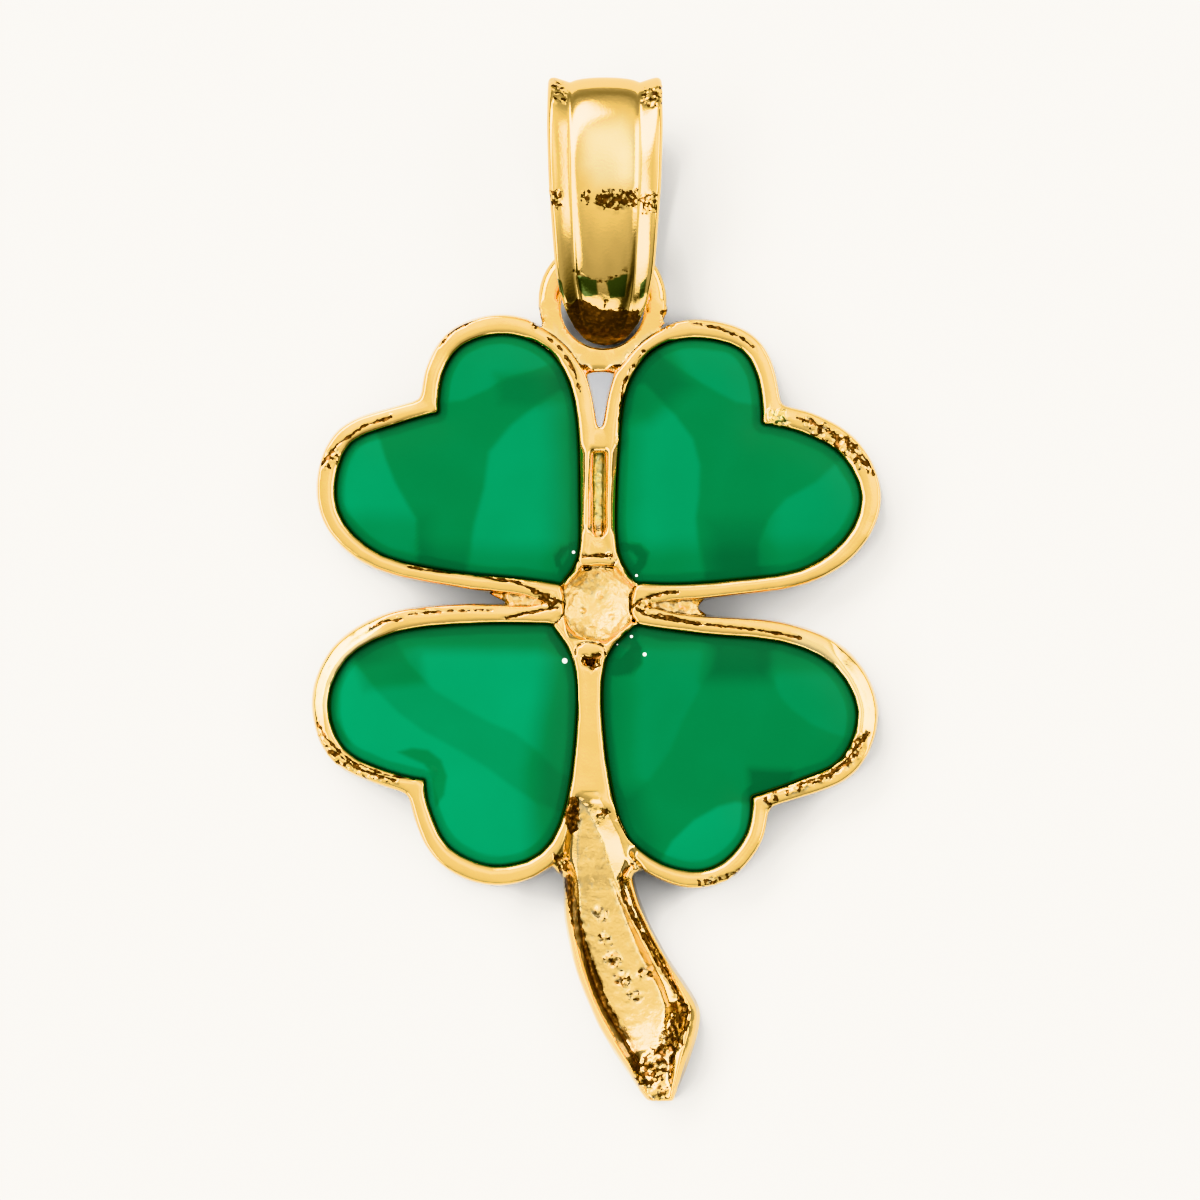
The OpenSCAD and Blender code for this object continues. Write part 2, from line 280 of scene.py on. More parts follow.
@dataclass(frozen=True)
class Bead:
    """A round bump, or a dent where rise is negative, in photograph pixels."""

    centre: Spot
    radius: float
    rise: float
    floor_z: float = 0.0

    def height(self, points: np.ndarray) -> np.ndarray:
        """Give the height that the bump adds at each point, in millimetres.

        Args:
            points: positions in millimetres.

        Returns:
            Height for each point.
        """
        gap = np.hypot(*(points[:, :2] - np.array(at(*self.centre))).T) / (self.radius * PIXEL)
        round_top = self.rise * np.clip(1.0 - gap**2, 0.0, 1.0) ** 1.5
        return np.where(points[:, 2] >= self.floor_z, round_top, 0.0)


def merged_copy(node: str) -> bmesh.types.BMesh:
    """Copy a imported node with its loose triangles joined, in millimetres.

    Args:
        node: name of the CAD node.

    Returns:
        The new bmesh.
    """
    bm = bmesh.new()
    bm.from_mesh(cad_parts[node].data)
    bmesh.ops.scale(bm, vec=(1.0 / MM,) * 3, verts=bm.verts)
    bmesh.ops.remove_doubles(bm, verts=bm.verts, dist=0.0005)
    return bm


def evaluated_mesh(mesh: bpy.types.Mesh, *settings: tuple[str, dict[str, object]]) -> bpy.types.Mesh:
    """Run modifiers on a mesh and keep their result.

    Args:
        mesh: the mesh to start from; it is removed.
        settings: modifier type and its values, in order.

    Returns:
        The resulting mesh.
    """
    carrier = bpy.data.objects.new("carrier", mesh)
    bpy.context.scene.collection.objects.link(carrier)
    for kind, values in settings:
        modifier = carrier.modifiers.new(kind.title(), kind)
        for key, value in values.items():
            setattr(modifier, key, value)
    result = bpy.data.meshes.new_from_object(carrier.evaluated_get(bpy.context.evaluated_depsgraph_get()))
    bpy.data.objects.remove(carrier)
    bpy.data.meshes.remove(mesh)
    return result


def read_rows(mesh: bpy.types.Mesh, key: str) -> np.ndarray:
    """Read a mesh's vertex positions ("co") or normals ("normal") as rows."""
    flat = np.empty(len(mesh.vertices) * 3)
    mesh.vertices.foreach_get(key, flat)
    return flat.reshape(-1, 3)


def place(mesh: bpy.types.Mesh, points: np.ndarray) -> None:
    """Write vertex positions back to a mesh."""
    mesh.vertices.foreach_set("co", points.ravel())
    mesh.update()


def write_mark(mesh: bpy.types.Mesh, mark: Mark, values: np.ndarray) -> None:
    """Store one number for each vertex under a mark's name."""
    layer = mesh.attributes.get(mark.value) or mesh.attributes.new(mark.value, "FLOAT", "POINT")
    layer.data.foreach_set("value", np.ascontiguousarray(values, dtype=np.float32))


class Neighbours:
    """The vertices of a mesh that edges join, for averaging over a surface."""

    def __init__(self, mesh: bpy.types.Mesh, chosen: np.ndarray | None = None) -> None:
        """Read the edges of a mesh.

        Args:
            mesh: the mesh.
            chosen: True for each vertex whose edges count, or None for all.
        """
        flat = np.empty(len(mesh.edges) * 2, dtype=np.int64)
        mesh.edges.foreach_get("vertices", flat)
        self.start, self.end = flat.reshape(-1, 2).T
        if chosen is not None:
            kept = chosen[self.start] & chosen[self.end]
            self.start, self.end = self.start[kept], self.end[kept]
        self.count = len(mesh.vertices)
        self.degree = np.bincount(self.start, minlength=self.count) + np.bincount(self.end, minlength=self.count)

    def averaged(self, rows: np.ndarray, rounds: int, share: np.ndarray | float = 0.5) -> np.ndarray:
        """Move each row towards the mean of its neighbours.

        Args:
            rows: one row for each vertex.
            rounds: how often.
            share: how far each row moves in a round, from 0 to 1.

        Returns:
            The new rows.
        """
        soft = rows.copy()
        joined = (self.degree > 0).astype(float) * share
        for _ in range(rounds):
            for axis in range(rows.shape[1]):
                total = np.bincount(self.start, weights=soft[self.end, axis], minlength=self.count)
                total += np.bincount(self.end, weights=soft[self.start, axis], minlength=self.count)
                soft[:, axis] += joined * (total / np.maximum(self.degree, 1) - soft[:, axis])
        return soft


def hollows(mesh: bpy.types.Mesh, rounds: int) -> np.ndarray:
    """Measure how deep each vertex lies below its averaged surroundings: more than 0 in creases."""
    points, facing = read_rows(mesh, "co"), read_rows(mesh, "normal")
    return ((Neighbours(mesh).averaged(points, rounds) - points) * facing).sum(1)


def finished_piece(
    name: str, mesh: bpy.types.Mesh, finish: bpy.types.Material, body: Body, node: str
) -> bpy.types.Object:
    """Turn a mesh in millimetres into a piece that rides a body and stands for a node.

    Args:
        name: the piece's name.
        mesh: its mesh in millimetres.
        finish: its material.
        body: the body it rides on.
        node: the CAD node that it stands for.

    Returns:
        The new object.
    """
    place(mesh, read_rows(mesh, "co") * MM)
    mesh.name = name
    mesh.materials.clear()
    mesh.materials.append(finish)
    mesh.shade_smooth()
    piece = bpy.data.objects.new(name, mesh)
    bpy.context.scene.collection.objects.link(piece)
    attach(piece, body.value)
    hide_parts(node)
    LOG.info("%s: %d triangles on %s", name, sum(len(face.vertices) - 2 for face in mesh.polygons), body.value)
    return piece


class NodeBench:
    """Adds and links shader nodes in one tree."""

    def __init__(self, tree: bpy.types.NodeTree) -> None:
        """Empty a node tree and keep it."""
        self.tree = tree
        self.tree.nodes.clear()

    def add(self, kind: str, **values: object) -> bpy.types.Node:
        """Add a node and set its plain properties.

        Args:
            kind: the node's type name.
            values: properties to set.

        Returns:
            The node.
        """
        node = self.tree.nodes.new(kind)
        for key, value in values.items():
            setattr(node, key, value)
        return node

    def feed(self, socket: bpy.types.NodeSocket, source: object) -> None:
        """Set a socket from another socket or from a constant."""
        if isinstance(source, bpy.types.NodeSocket):
            self.tree.links.new(source, socket)
        else:
            socket.default_value = source

    def math(self, operation: str, first: object, second: object = 0.0) -> bpy.types.NodeSocket:
        """Add one math step.

        Args:
            operation: the Math node's operation.
            first: first number or socket.
            second: second number or socket.

        Returns:
            The result socket.
        """
        node = self.add("ShaderNodeMath", operation=operation)
        self.feed(node.inputs[0], first)
        self.feed(node.inputs[1], second)
        return node.outputs[0]

    def ramp(self, value: object, low: float, high: float) -> bpy.types.NodeSocket:
        """Rise smoothly from 0 where a number is low to 1 where it is high.

        Args:
            value: number or socket.
            low: where the rise starts.
            high: where it ends.

        Returns:
            The result socket.
        """
        node = self.add("ShaderNodeMapRange", interpolation_type="SMOOTHSTEP")
        for socket, source in zip(node.inputs, (value, low, high)):
            self.feed(socket, source)
        return node.outputs[0]

    def dot(self, first: object, second: object) -> bpy.types.NodeSocket:
        """Give the dot product of two vectors."""
        node = self.add("ShaderNodeVectorMath", operation="DOT_PRODUCT")
        self.feed(node.inputs[0], first)
        self.feed(node.inputs[1], second)
        return node.outputs["Value"]

    def mix(self, share: object, first: object, second: object) -> bpy.types.NodeSocket:
        """Mix two colours by a share."""
        node = self.add("ShaderNodeMix", data_type="RGBA")
        self.feed(node.inputs["Factor"], share)
        for socket, source in ((node.inputs[6], first), (node.inputs[7], second)):
            self.feed(socket, (*source, 1.0) if isinstance(source, tuple) else source)
        return node.outputs[2]

    def mark(self, mark: Mark) -> bpy.types.NodeSocket:
        """Read a mark that the mesh carries."""
        return self.add("ShaderNodeAttribute", attribute_name=mark.value).outputs["Fac"]

    def near(
        self, place: bpy.types.NodeSocket, spot: tuple[float, float, float], height: float, reach: Span
    ) -> bpy.types.NodeSocket:
        """Rise from 0 to 1 as a place comes near a spot.

        Args:
            place: the place's socket, in metres.
            spot: the spot's x and y and its radius in photograph pixels.
            height: the spot's height in metres.
            reach: where the rise starts and ends, as shares of the radius.

        Returns:
            The share from 0 to 1.
        """
        x, y = at(*spot[:2])
        away = self.add("ShaderNodeVectorMath", operation="DISTANCE")
        self.feed(away.inputs[0], place)
        self.feed(away.inputs[1], (x * MM, y * MM, height))
        start, end = (spot[2] * PIXEL * MM * share for share in reach)
        return self.ramp(away.outputs["Value"], start, end)

    def noise(self, bump_mm: float, detail: float = 2.0) -> bpy.types.NodeSocket:
        """Add noise on the object's own coordinates, with bumps of a size in millimetres.

        Args:
            bump_mm: size of one bump.
            detail: number of finer layers.

        Returns:
            The noise from 0 to 1.
        """
        node = self.add("ShaderNodeTexNoise")
        self.feed(node.inputs["Vector"], self.add("ShaderNodeTexCoord").outputs["Object"])
        node.inputs["Scale"].default_value = 1.0 / (bump_mm * MM)
        node.inputs["Detail"].default_value = detail
        return node.outputs["Fac"]

    def bump(self, height: bpy.types.NodeSocket, strength: object, distance_mm: float) -> bpy.types.NodeSocket:
        """Turn a height into a bumped normal.

        Args:
            height: height socket.
            strength: number or socket.
            distance_mm: height of a full step in millimetres.

        Returns:
            The normal socket.
        """
        node = self.add("ShaderNodeBump")
        self.feed(node.inputs["Strength"], strength)
        node.inputs["Distance"].default_value = distance_mm * MM
        self.feed(node.inputs["Height"], height)
        return node.outputs[0]


def new_finish(name: str) -> tuple[bpy.types.Material, NodeBench, bpy.types.Node]:
    """Start a material with a Principled shader.

    Args:
        name: the material's name.

    Returns:
        The material, its node bench and the shader.
    """
    made = bpy.data.materials.new(name)
    made.use_nodes = True
    bench = NodeBench(made.node_tree)
    shade = bench.add("ShaderNodeBsdfPrincipled")
    bench.feed(bench.add("ShaderNodeOutputMaterial").inputs["Surface"], shade.outputs[0])
    return made, bench, shade


@dataclass(frozen=True)
class CastGold:
    """Polished yellow gold with casting grain and dull hollows, umber painted as shade in creases, paler gold painted
    as highlights and against the orange of gold reflecting gold, dark brown painted as dark reflections and shade and
    as brown in rough places, and green as enamel film and as painted reflections of the enamel.

    A pair of numbers holds the two ends of a smooth step. The shares say how much a mark or a noise counts.
    """

    name: str = "cast_gold"
    metal: Colour = (0.98, 0.65, 0.20)
    # The colours below, in order: paler gold for painted highlights and against the orange of gold reflecting gold;
    # umber for painted shade; dark brown and a reddish brown for painted dark reflections and shade and for brown in
    # rough places; green for enamel film and painted reflections of the enamel.
    painted_pale: Colour = (0.94, 0.77, 0.42)
    painted_shade_umber: Colour = (0.17, 0.105, 0.042)
    painted_dark_and_brown: Colour = (0.045, 0.018, 0.004)
    reddish_painted_dark_and_brown: Colour = (0.22, 0.10, 0.025)
    film: Colour = (0.06, 0.34, 0.08)
    film_metal: float = 0.1
    polish: float = 0.08
    dull: float = 0.34
    grain_mm: float = 0.06
    grain_height: float = 0.4
    grain_strength: float = 0.06
    grain_rough: float = 0.04
    frost_strength: float = 0.5
    broken_mm: float = 0.13
    broken_step: Span = (0.36, 0.62)
    broken_share: float = 0.8
    brown_step: Span = (0.02, 0.16)
    brown_rough: float = 0.12
    reddish_mm: float = 0.09
    reddish_step: Span = (0.48, 0.68)
    film_step: Span = (0.1, 0.9)
    painted_pale_share: float = 0.85
    painted_shade_share: float = 0.9

    def material(self) -> bpy.types.Material:
        """Build the node material.

        Returns:
            The material.
        """
        made, bench, shade = new_finish(self.name)
        fine = bench.noise(self.grain_mm, 3.0)
        painted_dark_and_brown_share, frost = bench.mark(Mark.PAINTED_DARK_AND_BROWN), bench.mark(Mark.FROST)
        broken = bench.ramp(bench.noise(self.broken_mm, 3.0), *self.broken_step)
        broken = bench.math("MULTIPLY", broken, self.broken_share)
        # Dark brown broken up by noise: painted dark reflections and shade, and brown in rough places.
        painted_dark_and_brown = bench.ramp(bench.math("SUBTRACT", painted_dark_and_brown_share, broken), *self.brown_step)
        # Paler gold painted as highlights and against gold-on-gold orange, then umber painted as shade in creases.
        hollow = bench.math("MULTIPLY", bench.mark(Mark.PAINTED_PALE), self.painted_pale_share)
        crease = bench.math("MULTIPLY", bench.mark(Mark.PAINTED_SHADE), self.painted_shade_share)
        colour = bench.mix(crease, bench.mix(hollow, self.metal, self.painted_pale), self.painted_shade_umber)
        deep = bench.mix(bench.ramp(bench.noise(self.reddish_mm, 2.0), *self.reddish_step), self.painted_dark_and_brown, self.reddish_painted_dark_and_brown)
        colour = bench.mix(painted_dark_and_brown, colour, deep)
        # Green: enamel film on the casting, and painted reflections of the enamel on the bail.
        film = bench.ramp(bench.mark(Mark.FILM_AND_PAINTED_REFLECTION), *self.film_step)
        bench.feed(shade.inputs["Base Color"], bench.mix(film, colour, self.film))
        lost = bench.math("MULTIPLY", film, 1.0 - self.film_metal)
        bench.feed(shade.inputs["Metallic"], bench.math("SUBTRACT", 1.0, lost))
        rough = bench.math("ADD", self.polish, bench.math("MULTIPLY", frost, self.dull - self.polish))
        rough = bench.math("ADD", rough, bench.math("MULTIPLY", painted_dark_and_brown, self.brown_rough))
        rough = bench.math("ADD", rough, bench.math("MULTIPLY", fine, self.grain_rough))
        bench.feed(shade.inputs["Roughness"], rough)
        strength = bench.math("ADD", self.grain_strength, bench.math("MULTIPLY", frost, self.frost_strength))
        bench.feed(shade.inputs["Normal"], bench.bump(fine, strength, self.grain_mm * self.grain_height))
        return made


@dataclass(frozen=True)
class GreenEnamel:
    """Glossy green enamel with soft lighter and darker bands, which are painted reflections and painted shade, a dark
    edge and tiny painted white glints.
    """

    name: str = "green_enamel"
    middle: Colour = (0.0, 0.100, 0.025)
    # The painted bands' colours: lighter for painted reflections, darker for painted shade and dark reflections.
    light: Colour = (0.0, 0.162, 0.062)
    dark: Colour = (0.0, 0.058, 0.014)
    rim: Colour = (0.001, 0.018, 0.005)
    # The colour of the painted glints.
    painted_glint: Colour = (0.95, 0.98, 0.95)
    gloss: float = 0.06
    reflection: float = 0.11
    cloud_mm: float = 1.2
    cloud_share: float = 0.30
    dust_mm: float = 0.35
    dust_rough: float = 0.04
    dust_strength: float = 0.05
    dust_height_mm: float = 0.01
    painted_glint_reach: Span = (1.3, 0.7)
    painted_glints: tuple[tuple[float, float, float], ...] = ()

    def material(self) -> bpy.types.Material:
        """Build the node material.

        Returns:
            The material.
        """
        made, bench, shade = new_finish(self.name)
        # Painted bands of reflection and shade, with random cloudiness over them.
        cloud = bench.math("SUBTRACT", bench.noise(self.cloud_mm, 1.0), 0.5)
        tone = bench.math("ADD", bench.mark(Mark.PAINTED_BANDS), bench.math("MULTIPLY", cloud, self.cloud_share))
        lighter = bench.add("ShaderNodeMapRange")
        darker = bench.add("ShaderNodeMapRange")
        for node, far in ((lighter, 1.0), (darker, -1.0)):
            bench.feed(node.inputs["Value"], tone)
            node.inputs["From Max"].default_value = far
        colour = bench.mix(lighter.outputs[0], self.middle, self.light)
        colour = bench.mix(darker.outputs[0], colour, self.dark)
        colour = bench.mix(bench.mark(Mark.EDGE), colour, self.rim)
        flat = bench.add("ShaderNodeVectorMath", operation="MULTIPLY")
        bench.feed(flat.inputs[0], bench.add("ShaderNodeTexCoord").outputs["Object"])
        bench.feed(flat.inputs[1], (1.0, 1.0, 0.0))
        # Painted glints: tiny white spots in the enamel.
        for painted_glint in self.painted_glints:
            colour = bench.mix(bench.near(flat.outputs[0], painted_glint, 0.0, self.painted_glint_reach), colour, self.painted_glint)
        bench.feed(shade.inputs["Base Color"], colour)
        dust = bench.noise(self.dust_mm, 4.0)
        rough = bench.math("ADD", self.gloss, bench.math("MULTIPLY", dust, self.dust_rough))
        bench.feed(shade.inputs["Roughness"], rough)
        shade.inputs["Specular IOR Level"].default_value = self.reflection
        bench.feed(shade.inputs["Normal"], bench.bump(dust, self.dust_strength, self.dust_height_mm))
        return made


@dataclass(frozen=True)
class PaleTable:
    """The plain pale floor, with painted light: a faint glow where it shows through the pendant."""

    name: str = "pale_table"
    colour: Colour = (0.80, 0.785, 0.76)
    rough: float = 0.9
    reflection: float = 0.1
    # Painted light: the glow's colour, strength and places under the pendant.
    glow: Colour = (0.97, 0.98, 1.0)
    glow_strength: float = 0.54
    glow_reach: Span = (1.0, 0.8)
    glow_at: tuple[tuple[float, float, float], ...] = (
        (600.0, 388.0, 28.0), (599.0, 420.0, 24.0), (600.0, 300.0, 36.0)
    )

    def material(self) -> bpy.types.Material:
        """Build the node material.

        Returns:
            The material.
        """
        made, bench, shade = new_finish(self.name)
        shade.inputs["Base Color"].default_value = (*self.colour, 1.0)
        shade.inputs["Roughness"].default_value = self.rough
        shade.inputs["Specular IOR Level"].default_value = self.reflection
        shade.inputs["Emission Color"].default_value = (*self.glow, 1.0)
        place_socket = bench.add("ShaderNodeTexCoord").outputs["Object"]
        total: object = 0.0
        for spot in self.glow_at:
            total = bench.math("MAXIMUM", total, bench.near(place_socket, spot, FLOOR_Z, self.glow_reach))
        bench.feed(shade.inputs["Emission Strength"], bench.math("MULTIPLY", total, self.glow_strength))
        return made


def wear_and_painted_light_marks(
    points: np.ndarray, wear_and_painted_light: tuple[WearAndPaintedLight, ...], up: np.ndarray, seed: int
) -> tuple[np.ndarray, dict[Mark, np.ndarray]]:
    """Work out what a list of worn places and places of painted light does to the gold.

    Args:
        points: positions in millimetres.
        wear_and_painted_light: the worn places and places of painted light.
        up: share of the effect for each point.
        seed: picks the patterns.

    Returns:
        How far each point moves out along its normal, and the marks.
    """
    push = np.zeros(len(points))
    marks = {mark: np.zeros(len(points)) for mark in (Mark.PAINTED_DARK_AND_BROWN, Mark.FROST, Mark.FILM_AND_PAINTED_REFLECTION, Mark.PAINTED_PALE)}
    for index, marking in enumerate(wear_and_painted_light):
        mask = marking.region.mask(points, seed + index) * up
        if marking.depth or marking.relief:
            broken = layered_grain(points, marking.cell, seed + 50 + index, 2)
            push += mask * (marking.relief * broken - marking.depth * (0.7 + 0.6 * broken))
        amounts = (marking.dark, marking.frost, marking.film, marking.painted_pale)
        for mark, amount in zip((Mark.PAINTED_DARK_AND_BROWN, Mark.FROST, Mark.FILM_AND_PAINTED_REFLECTION, Mark.PAINTED_PALE), amounts):
            if amount:
                marks[mark] = np.maximum(marks[mark], mask * amount)
    return push, marks


@dataclass
class LeafOutline:
    """The outline of an enamel leaf, read from its solid and smoothed."""

    node: str
    segments: int = 300

    def trace(self) -> tuple[np.ndarray, float]:
        """Read the outline and the foot's height.

        Returns:
            The smoothed outline as rows of x and y, anticlockwise, and the height of the foot.
        """
        bm = merged_copy(self.node)
        foot = min(v.co.z for v in bm.verts)
        corners = np.array([v.co.xy[:] for v in bm.verts if v.co.z < foot + 0.001])
        bm.free()
        middle = corners.mean(0)
        turn = np.arctan2(corners[:, 1] - middle[1], corners[:, 0] - middle[0])
        corners = corners[np.argsort(turn)]
        count = len(corners)
        spots = np.arange(self.segments) / self.segments * count
        index = np.floor(spots).astype(int)
        share = (spots - index)[:, None]
        before, start, end, after = (corners[(index + step) % count] for step in (-1, 0, 1, 2))
        curve = 2 * start + (end - before) * share + (2 * before - 5 * start + 4 * end - after) * share**2
        curve = curve + (3 * start - before - 3 * end + after) * share**3
        return curve / 2.0, foot


@dataclass
class CastFrame:
    """The gold casting: rims, eye ring, veins, dish and stem.

    Heights and gaps are in millimetres. A pair of numbers holds the two ends of a smooth step or of a range.
    """

    leaves: tuple[str, ...]
    node: str = "clover_frame"
    voxel_mm: float = 0.03
    softening: int = 6
    triangles: int = 192000
    wave_mm: float = 0.018
    wave_cell: float = 0.9
    wave_above: float = 0.15
    ripple_mm: float = 0.005
    ripple_cell: float = 0.3
    bead_facing: Span = (0.1, 0.5)
    crease_rounds: int = 8
    hollow_rounds: int = 50
    # From here to edge_facing: where shade is painted into creases, walls, floors and along the enamel, and where
    # paler gold is painted.
    shade_above: float = 0.1
    painted_crease_shade: Span = (0.003, 0.012)
    painted_hollow_shade: Span = (0.015, 0.05)
    pale_crease: Span = (0.001, 0.005)
    pale_hollow: Span = (0.004, 0.04)
    inner_top: Span = (1.0, 1.16)
    inner_steep: Span = (0.55, 0.92)
    inner_pale: float = 0.2
    steep_pale: float = 0.7
    wall_shade: tuple[float, float] = (0.10, 0.85)
    floor_shade: float = 0.13
    hollow_shade: float = 0.55
    edge_shade: float = 0.8
    edge_gap: Span = (0.03, 0.075)
    edge_z: Span = (0.9, 1.26)
    edge_facing: float = 0.9
    outline_steps: int = 150
    far: float = 9.0
    base_z: float = 0.05
    crest: float = 1.30
    shoulder: float = 1.02
    wall_foot: float = 0.75
    crest_keep: float = 0.25
    rim_reach: float = 0.46
    rim_soft: float = 0.12
    slope_above: float = 0.9
    slope_gap: float = 0.12
    slope_reach: float = 0.5
    widening: float = 0.05
    widen_from: Span = (0.2, 0.34)
    widen_to: Span = (0.7, 0.85)
    widen_facing: Span = (0.5, 0.9)
    least_run: float = 0.3
    plate_z: float = 1.035
    plate_above: float = 0.1
    plate_below: float = 0.16
    plate_facing: Span = (0.2, 0.6)
    rounding: int = 12
    round_gap: Span = (0.62, 0.85)
    round_z: Span = (0.78, 0.92)
    calm_hold: float = 0.9
    wall_rounding: int = 140
    wall_gap: Span = (0.2, 0.85)
    wall_facing: float = 0.5
    plate: Region = Region(())
    calm: tuple[Region, ...] = ()
    inner: tuple[Region, ...] = ()
    bowl: tuple[float, float, float] = (598.0, 603.5, 39.0)
    bowl_z: tuple[float, float] = (0.80, 1.12)
    bowl_power: float = 2.2
    bowl_reach: float = 1.1
    bowl_edge: Span = (0.95, 1.01)
    bowl_top: float = 1.22
    hollow_above: float = 0.3
    recesses: tuple[Region, ...] = ()
    recess_lift: float = 0.16
    recess_top: float = 0.95
    channel: Region = Region(())
    ramps: tuple[Region, ...] = ()
    channel_z: tuple[float, float] = (1.17, 0.80)
    channel_px: float = 87.0
    channel_slope: float = 0.42
    channel_reach: float = 0.35
    slopes: tuple[tuple[Region, float], ...] = ()
    wear_and_painted_light: tuple[WearAndPaintedLight, ...] = ()
    beads: tuple[Bead, ...] = ()

    def build(self, finish: bpy.types.Material) -> bpy.types.Object:
        """Model the casting over its solid.

        Args:
            finish: the gold material.

        Returns:
            The piece.
        """
        raw = bpy.data.meshes.new("casting")
        bm = merged_copy(self.node)
        bm.to_mesh(raw)
        bm.free()
        mesh = evaluated_mesh(
            raw,
            ("REMESH", {"mode": "VOXEL", "voxel_size": self.voxel_mm, "adaptivity": 0.0}),
            ("SMOOTH", {"factor": 0.5, "iterations": self.softening}),
        )
        self.round_rims(mesh)
        points, facing = read_rows(mesh, "co"), read_rows(mesh, "normal")
        up = smoothstep(*UPWARD, facing[:, 2])
        push, marks = wear_and_painted_light_marks(points, self.wear_and_painted_light, up, Seed.FRAME_MARKINGS)
        wave = layered_grain(points, self.wave_cell, Seed.FRAME_WAVE, 2) * (points[:, 2] > self.wave_above)
        push += self.wave_mm * wave
        push += self.ripple_mm * layered_grain(points, self.ripple_cell, Seed.FRAME_RIPPLE, 2) * up
        points = points + facing * push[:, None]
        for bead in self.beads:
            points[:, 2] += bead.height(points) * smoothstep(*self.bead_facing, facing[:, 2])
        points[:, 2] = np.maximum(points[:, 2], 0.0)
        place(mesh, points)
        self.shade(mesh, points, marks)
        for mark, values in marks.items():
            write_mark(mesh, mark, values)
        count = sum(len(face.vertices) - 2 for face in mesh.polygons)
        mesh = evaluated_mesh(mesh, ("DECIMATE", {"ratio": min(1.0, self.triangles / count)}))
        return finished_piece("cast_frame", mesh, finish, Body.CLOVER, self.node)

    def shade(self, mesh: bpy.types.Mesh, points: np.ndarray, marks: dict[Mark, np.ndarray]) -> None:
        """Work out the painted shade in creases, on walls and floors and along the enamel, and the paler gold painted
        into hollows and creases.

        Args:
            mesh: the casting in millimetres.
            points: its vertex positions.
            marks: the marks so far; it gains the painted shade and adds to the painted paler gold.
        """
        crease, hollow = hollows(mesh, self.crease_rounds), hollows(mesh, self.hollow_rounds)
        facing = read_rows(mesh, "normal")
        inner = np.zeros(len(points))
        for region in self.inner:
            inner = np.maximum(inner, region.mask(points))
        inner *= 1.0 - smoothstep(*self.inner_top, points[:, 2])
        steep = inner * (1.0 - smoothstep(*self.inner_steep, facing[:, 2]))
        # Painted shade: the walls of the inner places, one side much darker than the other, their floors, deeper
        # hollows elsewhere, creases and the line along the enamel.
        shaded = np.where(facing[:, 0] < 0.0, *self.wall_shade) * steep + self.floor_shade * (inner - steep)
        shaded += self.hollow_shade * (1.0 - inner) * smoothstep(*self.painted_hollow_shade, hollow)
        dark = np.maximum(smoothstep(*self.painted_crease_shade, crease), shaded) * (points[:, 2] > self.shade_above)
        marks[Mark.PAINTED_SHADE] = np.maximum(dark, self.edge_shade * self.inner_edge(points, facing))
        # Paler gold painted into the inner places and their walls, the hollows and the creases, against the orange of
        # gold reflecting gold.
        painted_pale = np.maximum(marks[Mark.PAINTED_PALE], inner * (self.inner_pale + self.steep_pale * steep))
        painted_pale = np.maximum(painted_pale, smoothstep(*self.pale_hollow, hollow) * (1.0 - inner))
        marks[Mark.PAINTED_PALE] = np.maximum(painted_pale, smoothstep(*self.pale_crease, crease))

    def round_rims(self, mesh: bpy.types.Mesh) -> None:
        """Smooth the walls, round and broaden the rims' tops, slope some of them and even out the plate by the eye.

        Args:
            mesh: the casting in millimetres.
        """
        points, facing = read_rows(mesh, "co"), read_rows(mesh, "normal")
        calm = self.plate.mask(points) * (points[:, 2] < self.plate_z + self.plate_above)
        flush = calm * smoothstep(*self.plate_facing, facing[:, 2]) * (points[:, 2] > self.plate_z - self.plate_below)
        for region in self.calm:
            calm = np.maximum(calm, region.mask(points))
        outside = self.leaf_gap(points, points[:, 2] > self.base_z)
        wall = (np.abs(facing[:, 2]) < self.wall_facing) & (calm < MARKED)
        wall &= (outside > self.wall_gap[0]) & (outside < self.wall_gap[1])
        points[:, :2] = Neighbours(mesh, wall).averaged(points[:, :2], self.wall_rounding)
        self.raise_crests(points, outside, calm)
        outward = facing[:, :2] / np.maximum(np.hypot(*facing[:, :2].T), self.least_run)[:, None]
        edge = smoothstep(*self.widen_from, outside) * (1.0 - smoothstep(*self.widen_to, outside))
        edge = edge * (1.0 - calm) * (points[:, 2] > self.base_z)
        edge = edge * (1.0 - smoothstep(*self.widen_facing, facing[:, 2]))
        points[:, :2] += outward * (self.widening * edge)[:, None]
        share = 0.5 * (1.0 - smoothstep(*self.round_gap, outside)) * (1.0 - self.calm_hold * calm)
        share = share * smoothstep(*self.round_z, points[:, 2])
        points = Neighbours(mesh).averaged(points, self.rounding, share)
        points[:, 2] += (self.plate_z - points[:, 2]) * flush
        place(mesh, self.shaped_hollows(points, read_rows(mesh, "normal")))

    def leaf_gap(self, points: np.ndarray, chosen: np.ndarray) -> np.ndarray:
        """Measure from the chosen points to the nearest enamel outline; the others count as far.

        Args:
            points: positions in millimetres.
            chosen: True for each point to measure.

        Returns:
            The gap for each point.
        """
        gap = np.full(len(points), self.far)
        for leaf in self.leaves:
            outline, _ = LeafOutline(leaf, self.outline_steps).trace()
            gap[chosen] = np.minimum(gap[chosen], distance_to_path(points[chosen, :2], outline, closed=True))
        return gap

